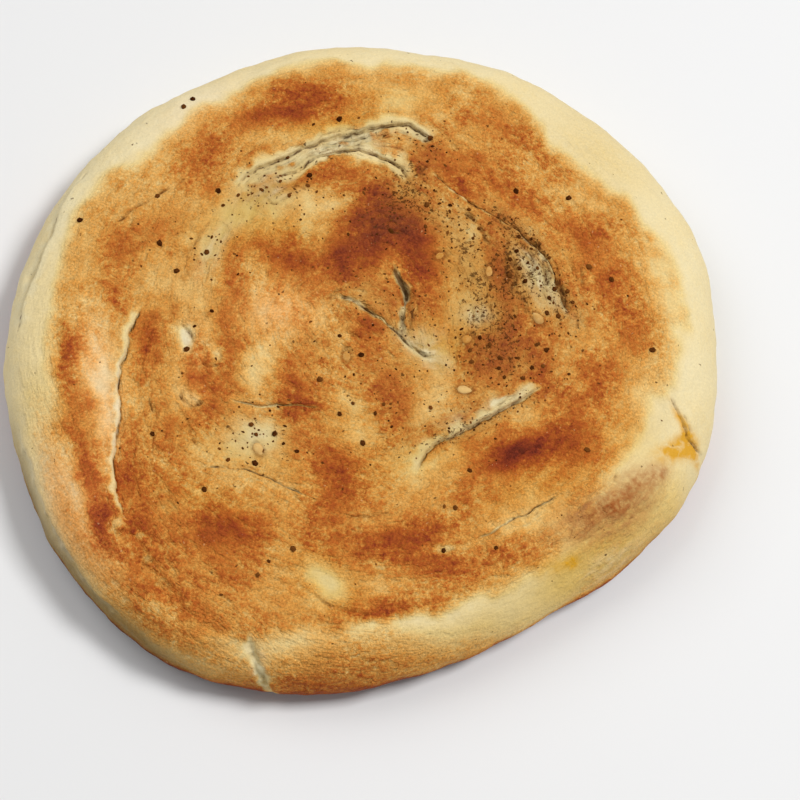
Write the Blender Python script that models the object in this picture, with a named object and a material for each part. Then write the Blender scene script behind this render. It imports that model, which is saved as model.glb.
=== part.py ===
"""A round filled flatbread: a coiled roll of dough, pressed flat and baked, with pepper and sesame in its crust.

The scene is in metres. Sizes here are in millimetres, and MM scales them where a mesh is made.
The bread lies on z = 0, with +Z up through the middle of its foot and +X along its longer side.

A place on the crust is "unrolled": (x, y) is the way along the crust from the middle of the top, over the
shoulder and down the side. One flat map then covers the top and the side, and folds cross the shoulder freely.
"""

import math
import random
from collections import namedtuple

import bmesh
import bpy
import numpy as np
from mathutils import Matrix, Vector, noise
from mathutils.geometry import delaunay_2d_cdt

MM = 0.001
NODE = "shaobing"

# The outline at its widest level: the radius every 20 degrees, counter-clockwise from +X.
OUTLINE_RADII = (
    79.5, 81.5, 80.5, 79.5, 78.0, 77.5, 77.0, 78.0, 79.0,
    80.0, 81.0, 83.0, 84.0, 80.0, 75.0, 72.5, 75.5, 78.5,
)

# The side, in a cut through the middle: a quarter ellipse above the widest level and another below it.
TOP_Z = 18.5
WAIST_Z = 7.0
SHOULDER_RUN = 13.0
FOOT_RUN = 6.0

# Relief fades out over this stretch above the foot, so that the bread rests flat.
FOOT_FADE = 8.0

# A fold's relief fades out over this stretch at each end, and its low side sinks by this share of its lip.
FOLD_FADE = 7.0
LOW_SIDE = 0.45

# A fold of the dough: its path, the lip's height, the cut's depth and half width, how far the lip reaches,
# and the side that the lip is on (1 is left of the path, -1 is right).
Fold = namedtuple("Fold", "path lip cut width reach side")
FOLDS = {
    "top fold": Fold(
        ((-31, 33), (-27.5, 38), (-20, 42), (-13, 46.3), (-6, 48.7), (1, 51.2), (6, 52), (11, 50.3), (15, 47)),
        1.0, 1.7, 1.2, 8, 1),
    "under the top fold": Fold(
        ((-23, 36.5), (-18, 38.7), (-12, 42.5), (-5, 45), (1, 43.8), (6, 41), (9, 36)), 0.5, 1.2, 1.1, 4, 1),
    "right fold": Fold(
        ((13, 41), (17, 37), (20, 34.3), (26, 30.3), (31, 27), (37, 22), (40.5, 17), (41.5, 12), (44, 4)),
        1.1, 1.5, 1.2, 9, -1),
    "inner fold": Fold(
        ((39, -11.5), (34, -15), (28, -18.5), (20, -23.5), (13, -28), (9.5, -35)), 1.1, 1.6, 1.2, 9, -1),
    "centre slit": Fold(((-9, 8.5), (-4, 6.6), (0, 4), (4, 1), (9, -4), (14, -7)), 0.7, 1.6, 1.1, 5, -1),
    "centre cleft": Fold(((4.5, 17), (6.7, 12), (8, 9), (7.6, 4), (7, -2.5)), 0.4, 1.8, 1.2, 4, 1),
    "left fold": Fold(
        ((-50, 5), (-52.5, -4), (-54.2, -13), (-53.5, -22), (-54, -35), (-51, -46)), 0.9, 1.4, 1.2, 9, -1),
    "left crease": Fold(((-31, -17), (-25, -18.5), (-17, -18.3), (-10, -19.5)), 0.4, 0.7, 1.0, 4, 1),
    "long crease": Fold(((-36, -32.5), (-28, -33.5), (-21, -35.5), (-12, -40)), 0.4, 0.8, 1.0, 5, -1),
    "valley": Fold(((-51, -44), (-46, -56), (-38, -64), (-28, -69)), 0.5, 1.1, 2.6, 8, -1),
    "lower crease": Fold(((41, -37), (35, -41), (28, -45), (22, -49)), 0.6, 0.9, 1.1, 7, 1),
    "side seam": Fold(((-65, 40), (-69, 31), (-71.5, 21), (-75, 11), (-78, -2)), 0.8, 1.9, 1.3, 6, 1),
    "side ridge": Fold(((-78, -26), (-72, -38), (-65, -53), (-53, -65)), 0.8, 0.7, 1.4, 6, 1),
    "crack": Fold(((-25, -68), (-24, -74), (-22.5, -80), (-21, -90)), 0.5, 2.6, 1.1, 4, 1),
    "pleat": Fold(((65, -12), (69, -19), (74, -25), (81, -29)), 0.8, 1.8, 1.2, 6, 1),
}

# Broad rises and hollows of the coils: place, half length, half width, turn in degrees and height.
Swell = namedtuple("Swell", "x y long wide turn height")
SWELLS = (
    Swell(0, 2, 44, 42, 0, 0.9),
    Swell(-62, 10, 34, 9, 95, 0.7),
    Swell(-8, 60, 40, 8, 0, 0.6),
    Swell(57, 20, 36, 9, -60, 0.7),
    Swell(34, -29, 16, 9, 30, 0.9),
    Swell(-28, -48, 20, 11, -15, 0.8),
    Swell(10, -50, 18, 8, 5, 0.7),
    Swell(-10, -59, 12, 6, 10, -0.9),
    Swell(-37, 22, 20, 6, 60, -0.8),
    Swell(-24, -27, 12, 7, 20, -0.7),
    Swell(62, -20, 13, 8, -60, -1.3),
    Swell(53, -38, 14, 6, 35, 1.1),
    Swell(46, -54, 14, 7, 40, -0.9),
)

# Slow unevenness of the dough, as pairs of a bump's size and its height.
UNEVENNESS = ((24, 0.7), (9, 0.3))

# The mesh: the gap between its points close to a fold and away from them, and how fast it grows.
FINE_GAP = 1.45
WIDE_GAP = 4.6
SIDE_GAP = 3.4
GAP_GROWTH = 0.42
FOLD_ROWS = (0.0, 1.3, -1.3, 2.7, -2.7)
RIM_POINTS = 104
FOOT_GAP = 9.0

# Sesame seeds: place and turn in degrees.
SEED_LENGTH = 3.4
SEED_WIDTH = 2.1
SEED_HEIGHT = 1.0
SEEDS = (
    (20.5, -14, -5), (-23.8, -28.7, -60), (15.5, 18.5, 20), (26.3, 15, 80), (-5.2, -6.5, 95), (21.5, -1.5, 40),
    (37, 3.5, 130),
)

# Coarse pepper: places of the largest grains, then place, half length, half width and turn of each peppered
# stretch with the number of grains scattered on it.
LARGE_GRAINS = (
    (-43, 13), (-47, 19.5), (-48, 31.5), (-64.5, 24.5), (-36.5, 18), (-40, -6), (-41, 57.5), (-43, 55),
    (-7.5, 52.5), (13.5, 48.7), (-14, 38), (-34.5, 33.5), (4.5, 24.2), (12.5, 31), (33, 36), (45, 34.5),
    (31, 14), (49, 17), (54, 14), (62.5, -3), (47, -27), (-2, -6.5), (-11, -12.5), (-1.5, -27),
    (-20.5, -25), (-24.5, -32), (-35, -38.5), (-16, -51),
)
PEPPER_STRETCHES = (
    (38, 14, 12, 5, -60, 14), (28, -5, 11, 8, 0, 13), (20, 27, 8, 6, 0, 7), (-23, 35, 12, 6, 35, 7),
    (-24, -27, 9, 6, 0, 4), (0, -12, 22, 10, 0, 5), (0, 0, 66, 66, 0, 10),
)
LARGE_RADIUS = 0.7
PEPPER_RADII = (0.42, 0.62)
PEPPER_SPACING = 2.4
PEPPER_SEED = 5


def catmull_rom(before, start, end, after, t):
    """The point at share t of the way from start to end, on a smooth curve through all four."""
    bend = 2 * before - 5 * start + 4 * end - after
    twist = -before + 3 * start - 3 * end + after
    return 0.5 * (2 * start + (end - before) * t + bend * t**2 + twist * t**3)


def smooth_step(share):
    """0 below 0, 1 above 1, and a smooth rise between."""
    t = np.clip(share, 0, 1)
    return t * t * (3 - 2 * t)


def quarter_arc(run, rise):
    """The length of a quarter ellipse, near enough."""
    return math.pi / 2 * math.sqrt((run * run + rise * rise) / 2)


SHOULDER_ARC = quarter_arc(SHOULDER_RUN, TOP_Z - WAIST_Z)
FOOT_ARC = quarter_arc(FOOT_RUN, WAIST_Z)


def outline_radius(angle):
    """The radius of the widest level at each angle."""
    radii = np.array(OUTLINE_RADII)
    count = len(radii)
    place = np.mod(angle, 2 * math.pi) / (2 * math.pi) * count
    first = np.floor(place).astype(int)
    around = [radii[(first + shift) % count] for shift in (-1, 0, 1, 2)]
    return catmull_rom(*around, place - first)


def unrolled_rim(angle):
    """How far the crust runs from the middle of the top to the edge of the foot, at each angle."""
    return outline_radius(angle) - SHOULDER_RUN + SHOULDER_ARC + FOOT_ARC


def plain_crust(places):
    """The point and the outward normal of the crust without its relief, at each unrolled place."""
    x, y = places.T
    angle = np.arctan2(y, x)
    along = np.hypot(x, y)
    flat = outline_radius(angle) - SHOULDER_RUN
    shoulder = np.clip((along - flat) / SHOULDER_ARC, 0, 1) * math.pi / 2
    foot = np.clip((along - flat - SHOULDER_ARC) / FOOT_ARC, 0, 1) * math.pi / 2
    radius = np.minimum(along, flat) + SHOULDER_RUN * np.sin(shoulder) - FOOT_RUN * (1 - np.cos(foot))
    z = WAIST_Z + (TOP_Z - WAIST_Z) * np.cos(shoulder) - WAIST_Z * np.sin(foot)
    out = np.where(foot > 0, WAIST_Z * np.cos(foot), (TOP_Z - WAIST_Z) * np.sin(shoulder))
    up = np.where(foot > 0, -FOOT_RUN * np.sin(foot), SHOULDER_RUN * np.cos(shoulder))
    size = np.hypot(out, up)
    point = np.stack([radius * np.cos(angle), radius * np.sin(angle), z], axis=1)
    normal = np.stack([out * np.cos(angle), out * np.sin(angle), up], axis=1) / size[:, None]
    return point, normal


def smooth_path(path, step=0.5):
    """Points about a step apart on a smooth curve through the places of a path."""
    places = np.array(path, dtype=float)
    padded = np.vstack([2 * places[0] - places[1], places, 2 * places[-1] - places[-2]])
    stretches = []
    for before, start, end, after in zip(padded, padded[1:], padded[2:], padded[3:]):
        count = max(2, round(np.linalg.norm(end - start) / step))
        share = np.arange(count)[:, None] / count
        stretches.append(catmull_rom(before, start, end, after, share))
    return np.vstack(stretches + [places[-1:]])


def beside(path, places):
    """Each place's distance from a path (positive on its left) and how far along the path it is."""
    line = smooth_path(path)
    steps = np.diff(line, axis=0)
    forward = np.vstack([steps, steps[-1:]])
    lengths = np.linalg.norm(steps, axis=1)
    along = np.concatenate([[0], np.cumsum(lengths)])
    gaps = places[:, None, :] - line[None, :, :]
    nearest = np.argmin((gaps**2).sum(axis=2), axis=1)
    gap = gaps[np.arange(len(places)), nearest]
    turned = forward[nearest, 0] * gap[:, 1] - forward[nearest, 1] * gap[:, 0]
    distance = np.linalg.norm(gap, axis=1) * np.where(turned < 0, -1, 1)
    return distance, along[nearest], along[-1]


def fold_relief(fold, places):
    """The height of one fold's lip and the depth of the cut beside it."""
    distance, along, length = beside(fold.path, places)
    ends = smooth_step(along / FOLD_FADE) * smooth_step((length - along) / FOLD_FADE)
    away = np.abs(distance)
    cut = np.exp(-(away / fold.width) ** 2)
    side = np.where(distance * fold.side > 0, 1, -LOW_SIDE)
    lip = side * (1 - cut) * np.exp(-away / fold.reach)
    return ends * (fold.lip * lip - fold.cut * cut)


def swell_relief(swell, places):
    """The height of one broad rise or hollow."""
    dx, dy = (places - (swell.x, swell.y)).T
    turn = math.radians(swell.turn)
    lengthways = (dx * math.cos(turn) + dy * math.sin(turn)) / swell.long
    across = (dy * math.cos(turn) - dx * math.sin(turn)) / swell.wide
    return swell.height * np.exp(-(lengthways**2) - across**2)


def relief(places):
    """How far the crust stands out from the plain form, at each unrolled place."""
    height = sum(fold_relief(fold, places) for fold in FOLDS.values())
    height = height + sum(swell_relief(swell, places) for swell in SWELLS)
    for size, rise in UNEVENNESS:
        height += [rise * noise.noise(Vector((x / size, y / size, size))) for x, y in places]
    rim = unrolled_rim(np.arctan2(places[:, 1], places[:, 0]))
    return height * smooth_step((rim - np.hypot(*places.T)) / FOOT_FADE)


def crust_surface(places):
    """The finished crust's points, in millimetres."""
    point, normal = plain_crust(places)
    return point + normal * relief(places)[:, None]


def wanted_gap(places):
    """The mesh's gap at each place: fine beside the folds, wider away from them and on the side."""
    nearest = np.min([np.abs(beside(fold.path, places)[0]) for fold in FOLDS.values()], axis=0)
    past_rows = np.maximum(0, nearest - max(FOLD_ROWS))
    angle = np.arctan2(places[:, 1], places[:, 0])
    on_side = np.hypot(*places.T) > outline_radius(angle) - SHOULDER_RUN
    return np.minimum(FINE_GAP + GAP_GROWTH * past_rows, np.where(on_side, SIDE_GAP, WIDE_GAP))


def thin_out(places, gaps):
    """Take the places in turn, and keep each one that has no kept place nearer than its gap."""
    cell = max(gaps)
    cells = {}
    kept = []
    for (x, y), gap in zip(places, gaps):
        column = int(x // cell)
        row = int(y // cell)
        around = [cells.get((column + i, row + j), ()) for i in (-1, 0, 1) for j in (-1, 0, 1)]
        if all((x - a) ** 2 + (y - b) ** 2 >= gap * gap for group in around for a, b in group):
            cells.setdefault((column, row), []).append((x, y))
            kept.append((x, y))
    return np.array(kept)


def hexagon_grid(reach, gap):
    """Places a gap apart in rows set off by half a gap."""
    rows = np.arange(-reach, reach, gap * math.sqrt(3) / 2)
    columns = np.arange(-reach, reach, gap)
    return np.array([(x + gap / 2 * (i % 2), y) for i, y in enumerate(rows) for x in columns])


def fold_rows():
    """Rows of places along every fold, so that the mesh has edges along its lip and its cut."""
    rows = []
    for offset in FOLD_ROWS:
        for fold in FOLDS.values():
            line = smooth_path(fold.path, FINE_GAP)
            forward = np.gradient(line, axis=0)
            forward /= np.linalg.norm(forward, axis=1)[:, None]
            left = np.stack([-forward[:, 1], forward[:, 0]], axis=1)
            rows.append(line + left * offset)
    return np.vstack(rows)


def inside(places, margin):
    """The places that are at least a margin inside the edge of the foot."""
    rim = unrolled_rim(np.arctan2(places[:, 1], places[:, 0]))
    return places[np.hypot(*places.T) < rim - margin]


def triangulate(places, rim_count):
    """Triangles over the places, inside the ring of their first rim_count places."""
    ring = [list(range(rim_count))]
    result = delaunay_2d_cdt([Vector(place) for place in places], [], ring, 1, 1e-6)
    came_from = [sources[0] for sources in result[3]]
    return [[came_from[corner] for corner in face] for face in result[2]]


def bread_mesh():
    """The loaf as one closed mesh: the crust sheet over the top and the side, and the flat foot under it."""
    angles = np.arange(RIM_POINTS) / RIM_POINTS * 2 * math.pi
    ring = np.stack([np.cos(angles), np.sin(angles)], axis=1) * unrolled_rim(angles)[:, None]
    grid = hexagon_grid(max(OUTLINE_RADII) * 1.3, FINE_GAP)
    grid_gaps = wanted_gap(inside(grid, SIDE_GAP / 2))
    grid = inside(grid, SIDE_GAP / 2)[np.argsort(grid_gaps, kind="stable")]
    rows = inside(fold_rows(), SIDE_GAP / 2)
    gaps = np.concatenate([np.zeros(len(ring)), np.full(len(rows), FINE_GAP * 0.7), np.sort(grid_gaps)])
    places = thin_out(np.vstack([ring, rows, grid]), gaps)
    crust = crust_surface(places)

    foot_ring = crust[:RIM_POINTS, :2]
    foot_grid = hexagon_grid(max(OUTLINE_RADII), FOOT_GAP)
    foot_reach = outline_radius(np.arctan2(foot_grid[:, 1], foot_grid[:, 0])) - FOOT_RUN - FOOT_GAP / 2
    foot_grid = foot_grid[np.hypot(*foot_grid.T) < foot_reach]
    foot = np.vstack([foot_ring, foot_grid])

    points = np.vstack([crust, np.column_stack([foot_grid, np.zeros(len(foot_grid))])])
    shift = len(crust) - RIM_POINTS
    foot_faces = triangulate(foot, RIM_POINTS)
    foot_faces = [[corner if corner < RIM_POINTS else corner + shift for corner in face] for face in foot_faces]
    mesh = bpy.data.meshes.new(NODE)
    mesh.from_pydata((points * MM).tolist(), [], triangulate(places, RIM_POINTS) + foot_faces)
    turn_faces_out(mesh)
    return mesh


def turn_faces_out(mesh):
    """Point every face of a closed mesh outwards."""
    bm = bmesh.new()
    bm.from_mesh(mesh)
    bmesh.ops.recalc_face_normals(bm, faces=bm.faces)
    bm.to_mesh(mesh)
    bm.free()


def seat(x, y, spin):
    """A frame on the crust at a place: its origin on the surface, its z axis out of it, turned by spin."""
    step = 0.6
    here, ahead, aside = (Vector(p) for p in crust_surface(np.array([(x, y), (x + step, y), (x, y + step)])))
    out = (ahead - here).cross(aside - here).normalized()
    lengthways = (ahead - here).normalized()
    turn = Matrix((lengthways, out.cross(lengthways), out)).transposed().to_4x4()
    return Matrix.Translation(here * MM) @ turn @ Matrix.Rotation(spin, 4, "Z")


def sesame_mesh():
    """A flat teardrop: rings of six points along its length, closed at both tips."""
    sides = 6
    half_widths = ((-0.34, 0.62), (-0.08, 1.0), (0.26, 0.62))
    points = [Vector((-0.5 * SEED_LENGTH, 0, 0))]
    for share, fatness in half_widths:
        for side in range(sides):
            angle = 2 * math.pi * side / sides
            y = fatness * SEED_WIDTH / 2 * math.cos(angle)
            z = fatness * SEED_HEIGHT / 2 * math.sin(angle)
            points.append(Vector((share * SEED_LENGTH, y, z)))
    points.append(Vector((0.5 * SEED_LENGTH, 0, 0)))
    last = len(points) - 1
    faces = []
    for side in range(sides):
        beyond = (side + 1) % sides
        faces.append((0, 1 + beyond, 1 + side))
        faces.append((last, last - sides + side, last - sides + beyond))
        for ring in range(len(half_widths) - 1):
            first = 1 + ring * sides
            faces.append((first + side, first + beyond, first + sides + beyond, first + sides + side))
    mesh = bpy.data.meshes.new("sesame")
    mesh.from_pydata([point * MM for point in points], [], faces)
    turn_faces_out(mesh)
    return mesh


def pepper_mesh(rng, radius):
    """A coarse grain of ground pepper: an uneven twenty-sided lump."""
    bm = bmesh.new()
    bmesh.ops.create_icosphere(bm, subdivisions=1, radius=radius * MM)
    for vertex in bm.verts:
        vertex.co *= rng.uniform(0.8, 1.15)
        vertex.co.x *= 1.2
    mesh = bpy.data.meshes.new("pepper")
    bm.to_mesh(mesh)
    bm.free()
    return mesh


def scattered_places(rng):
    """Places for the lesser grains: random draws in each peppered stretch, kept apart and off the rest."""
    taken = [(x, y) for x, y, spin in SEEDS] + list(LARGE_GRAINS)
    grains = []
    for x, y, long, wide, turn, count in PEPPER_STRETCHES:
        turn = math.radians(turn)
        wanted = len(grains) + count
        while len(grains) < wanted:
            reach = math.sqrt(rng.random())
            angle = rng.uniform(0, 2 * math.pi)
            dx = long * reach * math.cos(angle)
            dy = wide * reach * math.sin(angle)
            place = (x + dx * math.cos(turn) - dy * math.sin(turn), y + dx * math.sin(turn) + dy * math.cos(turn))
            if all(math.dist(place, other) > PEPPER_SPACING for other in taken):
                taken.append(place)
                grains.append(place)
    return grains


def add_toppings(collection):
    """Link every sesame seed and coarse pepper grain, half sunk in the crust, to a collection."""
    rng = random.Random(PEPPER_SEED)
    placed = [(sesame_mesh(), seat(x, y, math.radians(spin))) for x, y, spin in SEEDS]
    grains = [(place, LARGE_RADIUS) for place in LARGE_GRAINS]
    grains += [(place, rng.uniform(*PEPPER_RADII)) for place in scattered_places(rng)]
    for (x, y), radius in grains:
        grain = pepper_mesh(rng, radius)
        placed.append((grain, seat(x, y, rng.uniform(0, 2 * math.pi))))
    for mesh, place in placed:
        topping = bpy.data.objects.new("topping", mesh)
        topping.matrix_world = place
        collection.objects.link(topping)


def fuse(bread, collection):
    """Join a collection's objects to the bread with one Boolean union, and remove them."""
    union = bread.modifiers.new("toppings", "BOOLEAN")
    union.operation = "UNION"
    union.operand_type = "COLLECTION"
    union.collection = collection
    union.solver = "EXACT"
    evaluated = bread.evaluated_get(bpy.context.evaluated_depsgraph_get())
    fused = bpy.data.meshes.new_from_object(evaluated)
    bread.modifiers.clear()
    bread.data = fused
    for topping in list(collection.objects):
        bpy.data.objects.remove(topping)
    bpy.data.collections.remove(collection)


def keep_main_body(mesh):
    """Keep the largest connected part, and split every face into triangles."""
    bm = bmesh.new()
    bm.from_mesh(mesh)
    unseen = set(bm.verts)
    bodies = []
    while unseen:
        body = {unseen.pop()}
        front = list(body)
        while front:
            vertex = front.pop()
            reached = {edge.other_vert(vertex) for edge in vertex.link_edges} & unseen
            unseen -= reached
            body |= reached
            front.extend(reached)
        bodies.append(body)
    bodies.sort(key=len)
    scraps = [vertex for body in bodies[:-1] for vertex in body]
    bmesh.ops.delete(bm, geom=scraps, context="VERTS")
    bmesh.ops.triangulate(bm, faces=bm.faces)
    bm.to_mesh(mesh)
    bm.free()


def crust_material():
    """Baked wheat crust: matt, golden brown."""
    material = bpy.data.materials.new("baked_crust")
    material.use_nodes = True
    shader = material.node_tree.nodes["Principled BSDF"]
    shader.inputs["Base Color"].default_value = (0.60, 0.31, 0.10, 1)
    shader.inputs["Roughness"].default_value = 0.55
    shader.inputs["Metallic"].default_value = 0.0
    return material


def build():
    """Make the bread as one object, with its toppings fused on."""
    for old in list(bpy.data.objects):
        bpy.data.objects.remove(old)
    bread = bpy.data.objects.new(NODE, bread_mesh())
    bpy.context.scene.collection.objects.link(bread)
    toppings = bpy.data.collections.new("toppings")
    bpy.context.scene.collection.children.link(toppings)
    add_toppings(toppings)
    fuse(bread, toppings)
    keep_main_body(bread.data)
    bread.data.materials.clear()
    bread.data.materials.append(crust_material())
    bread.data.shade_smooth()
    bread.data.set_sharp_from_angle(angle=math.radians(50))


build()
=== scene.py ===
import math
import random
from collections import namedtuple

import bmesh
import bpy
import numpy as np
from mathutils import Matrix, Vector, noise
from mathutils.geometry import delaunay_2d_cdt


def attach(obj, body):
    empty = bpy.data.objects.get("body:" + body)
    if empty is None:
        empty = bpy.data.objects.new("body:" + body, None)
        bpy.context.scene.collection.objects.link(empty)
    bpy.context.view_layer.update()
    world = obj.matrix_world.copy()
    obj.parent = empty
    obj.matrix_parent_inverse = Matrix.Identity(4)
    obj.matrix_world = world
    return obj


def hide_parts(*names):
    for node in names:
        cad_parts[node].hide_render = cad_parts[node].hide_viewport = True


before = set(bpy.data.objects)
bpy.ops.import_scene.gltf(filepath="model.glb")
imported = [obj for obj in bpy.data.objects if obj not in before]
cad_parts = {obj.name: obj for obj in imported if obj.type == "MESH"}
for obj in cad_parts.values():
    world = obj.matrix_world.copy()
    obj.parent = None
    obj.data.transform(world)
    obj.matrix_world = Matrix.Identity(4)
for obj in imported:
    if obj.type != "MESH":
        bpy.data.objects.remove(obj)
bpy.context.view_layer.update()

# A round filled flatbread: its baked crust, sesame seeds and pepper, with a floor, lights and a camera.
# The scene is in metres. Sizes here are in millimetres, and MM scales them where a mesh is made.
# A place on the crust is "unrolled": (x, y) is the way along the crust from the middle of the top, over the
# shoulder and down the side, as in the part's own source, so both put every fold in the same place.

MM = 0.001
NODE = "shaobing"

# The plain form, as in the solid: the outline's radius every 20 degrees, the heights of the top and the
# waist, how far in the shoulder and the foot round off, how far from the foot's edge the relief fades, and
# how deep the low side of a fold lies as a share of its lip's height.
OUTLINE_RADII = (
    79.5, 81.5, 80.5, 79.5, 78.0, 77.5, 77.0, 78.0, 79.0,
    80.0, 81.0, 83.0, 84.0, 80.0, 75.0, 72.5, 75.5, 78.5,
)
TOP_Z = 18.5
WAIST_Z = 7.0
SHOULDER_RUN = 13.0
FOOT_RUN = 6.0
FOOT_FADE = 8.0
LOW_SIDE = 0.45

# A fold: its path, the lip's height, the cut's depth and half width, how far the lip reaches, the side that
# the lip is on (1 is left of the path), how far the lip hangs over the cut, how far pale dough shows on the
# lip's side and on the low side, and how much painted shade darkens the cut.
Fold = namedtuple("Fold", "path lip cut width reach side overhang pale_high pale_low dark")
FOLDS = {
    "top fold": Fold(
        ((-31, 33), (-27.5, 38), (-20, 42), (-13, 46.3), (-6, 48.7), (1, 51.2), (6, 52), (11, 50.3),
        (15, 47)),
        0.8, 1.1, 0.30, 8, 1, 0.45, 2.2, 2.8, 0.8),
    "under the top fold": Fold(
        ((-23, 36.5), (-18, 38.7), (-12, 42.5), (-5, 45), (1, 43.8), (6, 41), (9, 36)),
        0.5, 1.1, 0.32, 4, 1, 0.4, 2.5, 2.2, 0.8),
    "right fold": Fold(
        ((13, 41), (17, 37), (20, 34.3), (26, 30.3), (31, 27), (37, 22), (40.5, 17), (41.5, 12), (44, 4)),
        1.1, 1.4, 0.42, 9, -1, 0.5, 0.8, 0.2, 1.0),
    "inner fold": Fold(
        ((39, -11.5), (34, -15), (28, -18.5), (20, -23.5), (13, -28), (9.5, -35)),
        1.0, 1.1, 0.32, 9, -1, 0.4, 1.9, 0.2, 0.7),
    "centre slit": Fold(
        ((-9, 8.5), (-4, 6.6), (0, 4), (4, 1), (9, -4), (14, -7)),
        0.7, 1.4, 0.50, 5, -1, 0.4, 1.1, 0.7, 1.0),
    "centre cleft": Fold(
        ((4.5, 17), (6.7, 12), (8, 9), (7.6, 4), (7, -2.5)),
        0.5, 1.7, 0.60, 4, 1, 0.3, 0.9, 0.9, 1.0),
    "left fold": Fold(
        ((-50, 5), (-52.5, -4), (-54.2, -13), (-53.5, -22), (-54, -35), (-51, -46)),
        0.9, 1.0, 0.28, 9, -1, 0.4, 1.3, 0.0, 0.75),
    "left crease": Fold(
        ((-31, -17), (-25, -18.5), (-17, -18.3), (-10, -19.5)), 0.4, 0.6, 0.3, 4, 1, 0.2, 0.3, 0.3, 0.7),
    "long crease": Fold(
        ((-36, -32.5), (-28, -33.5), (-21, -35.5), (-12, -40)), 0.4, 0.6, 0.3, 5, -1, 0.2, 0.3, 0.3, 0.7),
    "valley": Fold(
        ((-51, -44), (-46, -56), (-38, -64), (-28, -69)), 0.5, 1.1, 2.4, 8, -1, 0.0, 0.0, 0.0, 0.0),
    "lower crease": Fold(
        ((41, -37), (35, -41), (28, -45), (22, -49)), 0.6, 0.8, 0.3, 7, 1, 0.3, 0.4, 0.3, 0.7),
    "side seam": Fold(
        ((-65, 40), (-69, 31), (-71.5, 21), (-75, 11), (-78, -2)), 0.8, 1.4, 0.5, 6, 1, 0.4, 3.0, 3.0, 0.7),
    "side ridge": Fold(
        ((-78, -22), (-71.5, -38), (-67, -47), (-62.5, -54.5), (-59, -60), (-52, -66.5)),
        0.8, 0.7, 0.5, 6, 1, 0.3, 1.0, 1.6, 0.3),
    "crack": Fold(
        ((-25, -68), (-24, -74), (-22.5, -80), (-21, -90)), 0.3, 1.1, 1.1, 4, 1, 0.1, 1.4, 1.4, 0.05),
    "pleat": Fold(
        ((65.5, -12), (68, -17), (69.7, -20), (71.3, -22.8), (78, -27)),
        0.6, 0.7, 0.24, 6, 1, 0.4, 0.3, 0.3, 0.45),
}
FOLD_FADE = 7.0

# Thinner lines that run beside a fold: the fold, how far to its left, and the shares of its way between
# which the line runs. All have one depth and half width.
STRANDS = (
    ("top fold", -1.1, 0.05, 0.6), ("top fold", -2.1, 0.3, 0.95), ("top fold", 1.2, 0.3, 0.7),
    ("top fold", -3.2, 0.55, 0.9), ("under the top fold", -1, 0.25, 0.9),
    ("under the top fold", -2, 0.55, 1), ("under the top fold", 1, 0.1, 0.7),
    ("right fold", -1.2, 0.3, 0.8), ("right fold", -2.3, 0.5, 0.95), ("right fold", 1, 0.45, 1),
    ("right fold", -3.6, 0.6, 0.95), ("inner fold", -1.3, 0.1, 0.5), ("centre slit", -0.9, 0, 0.6),
    ("centre slit", 0.9, 0.2, 0.8), ("centre cleft", 0.9, 0.4, 1), ("left fold", 0.9, 0.5, 1),
    ("left fold", 4.2, 0.1, 0.55), ("left fold", 4, 0.6, 0.95), ("left fold", 7.5, 0.5, 0.85),
    ("pleat", 0.9, 0.2, 0.7), ("long crease", 0.9, 0.2, 0.8), ("lower crease", 1, 0.1, 0.6),
)
STRAND_DEPTH = 0.34
STRAND_WIDTH = 0.32

# A fold wanders off its smooth path, in pairs of a bend's size and how far it goes.
WANDER = ((5.0, 0.55), (1.7, 0.34))
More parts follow.
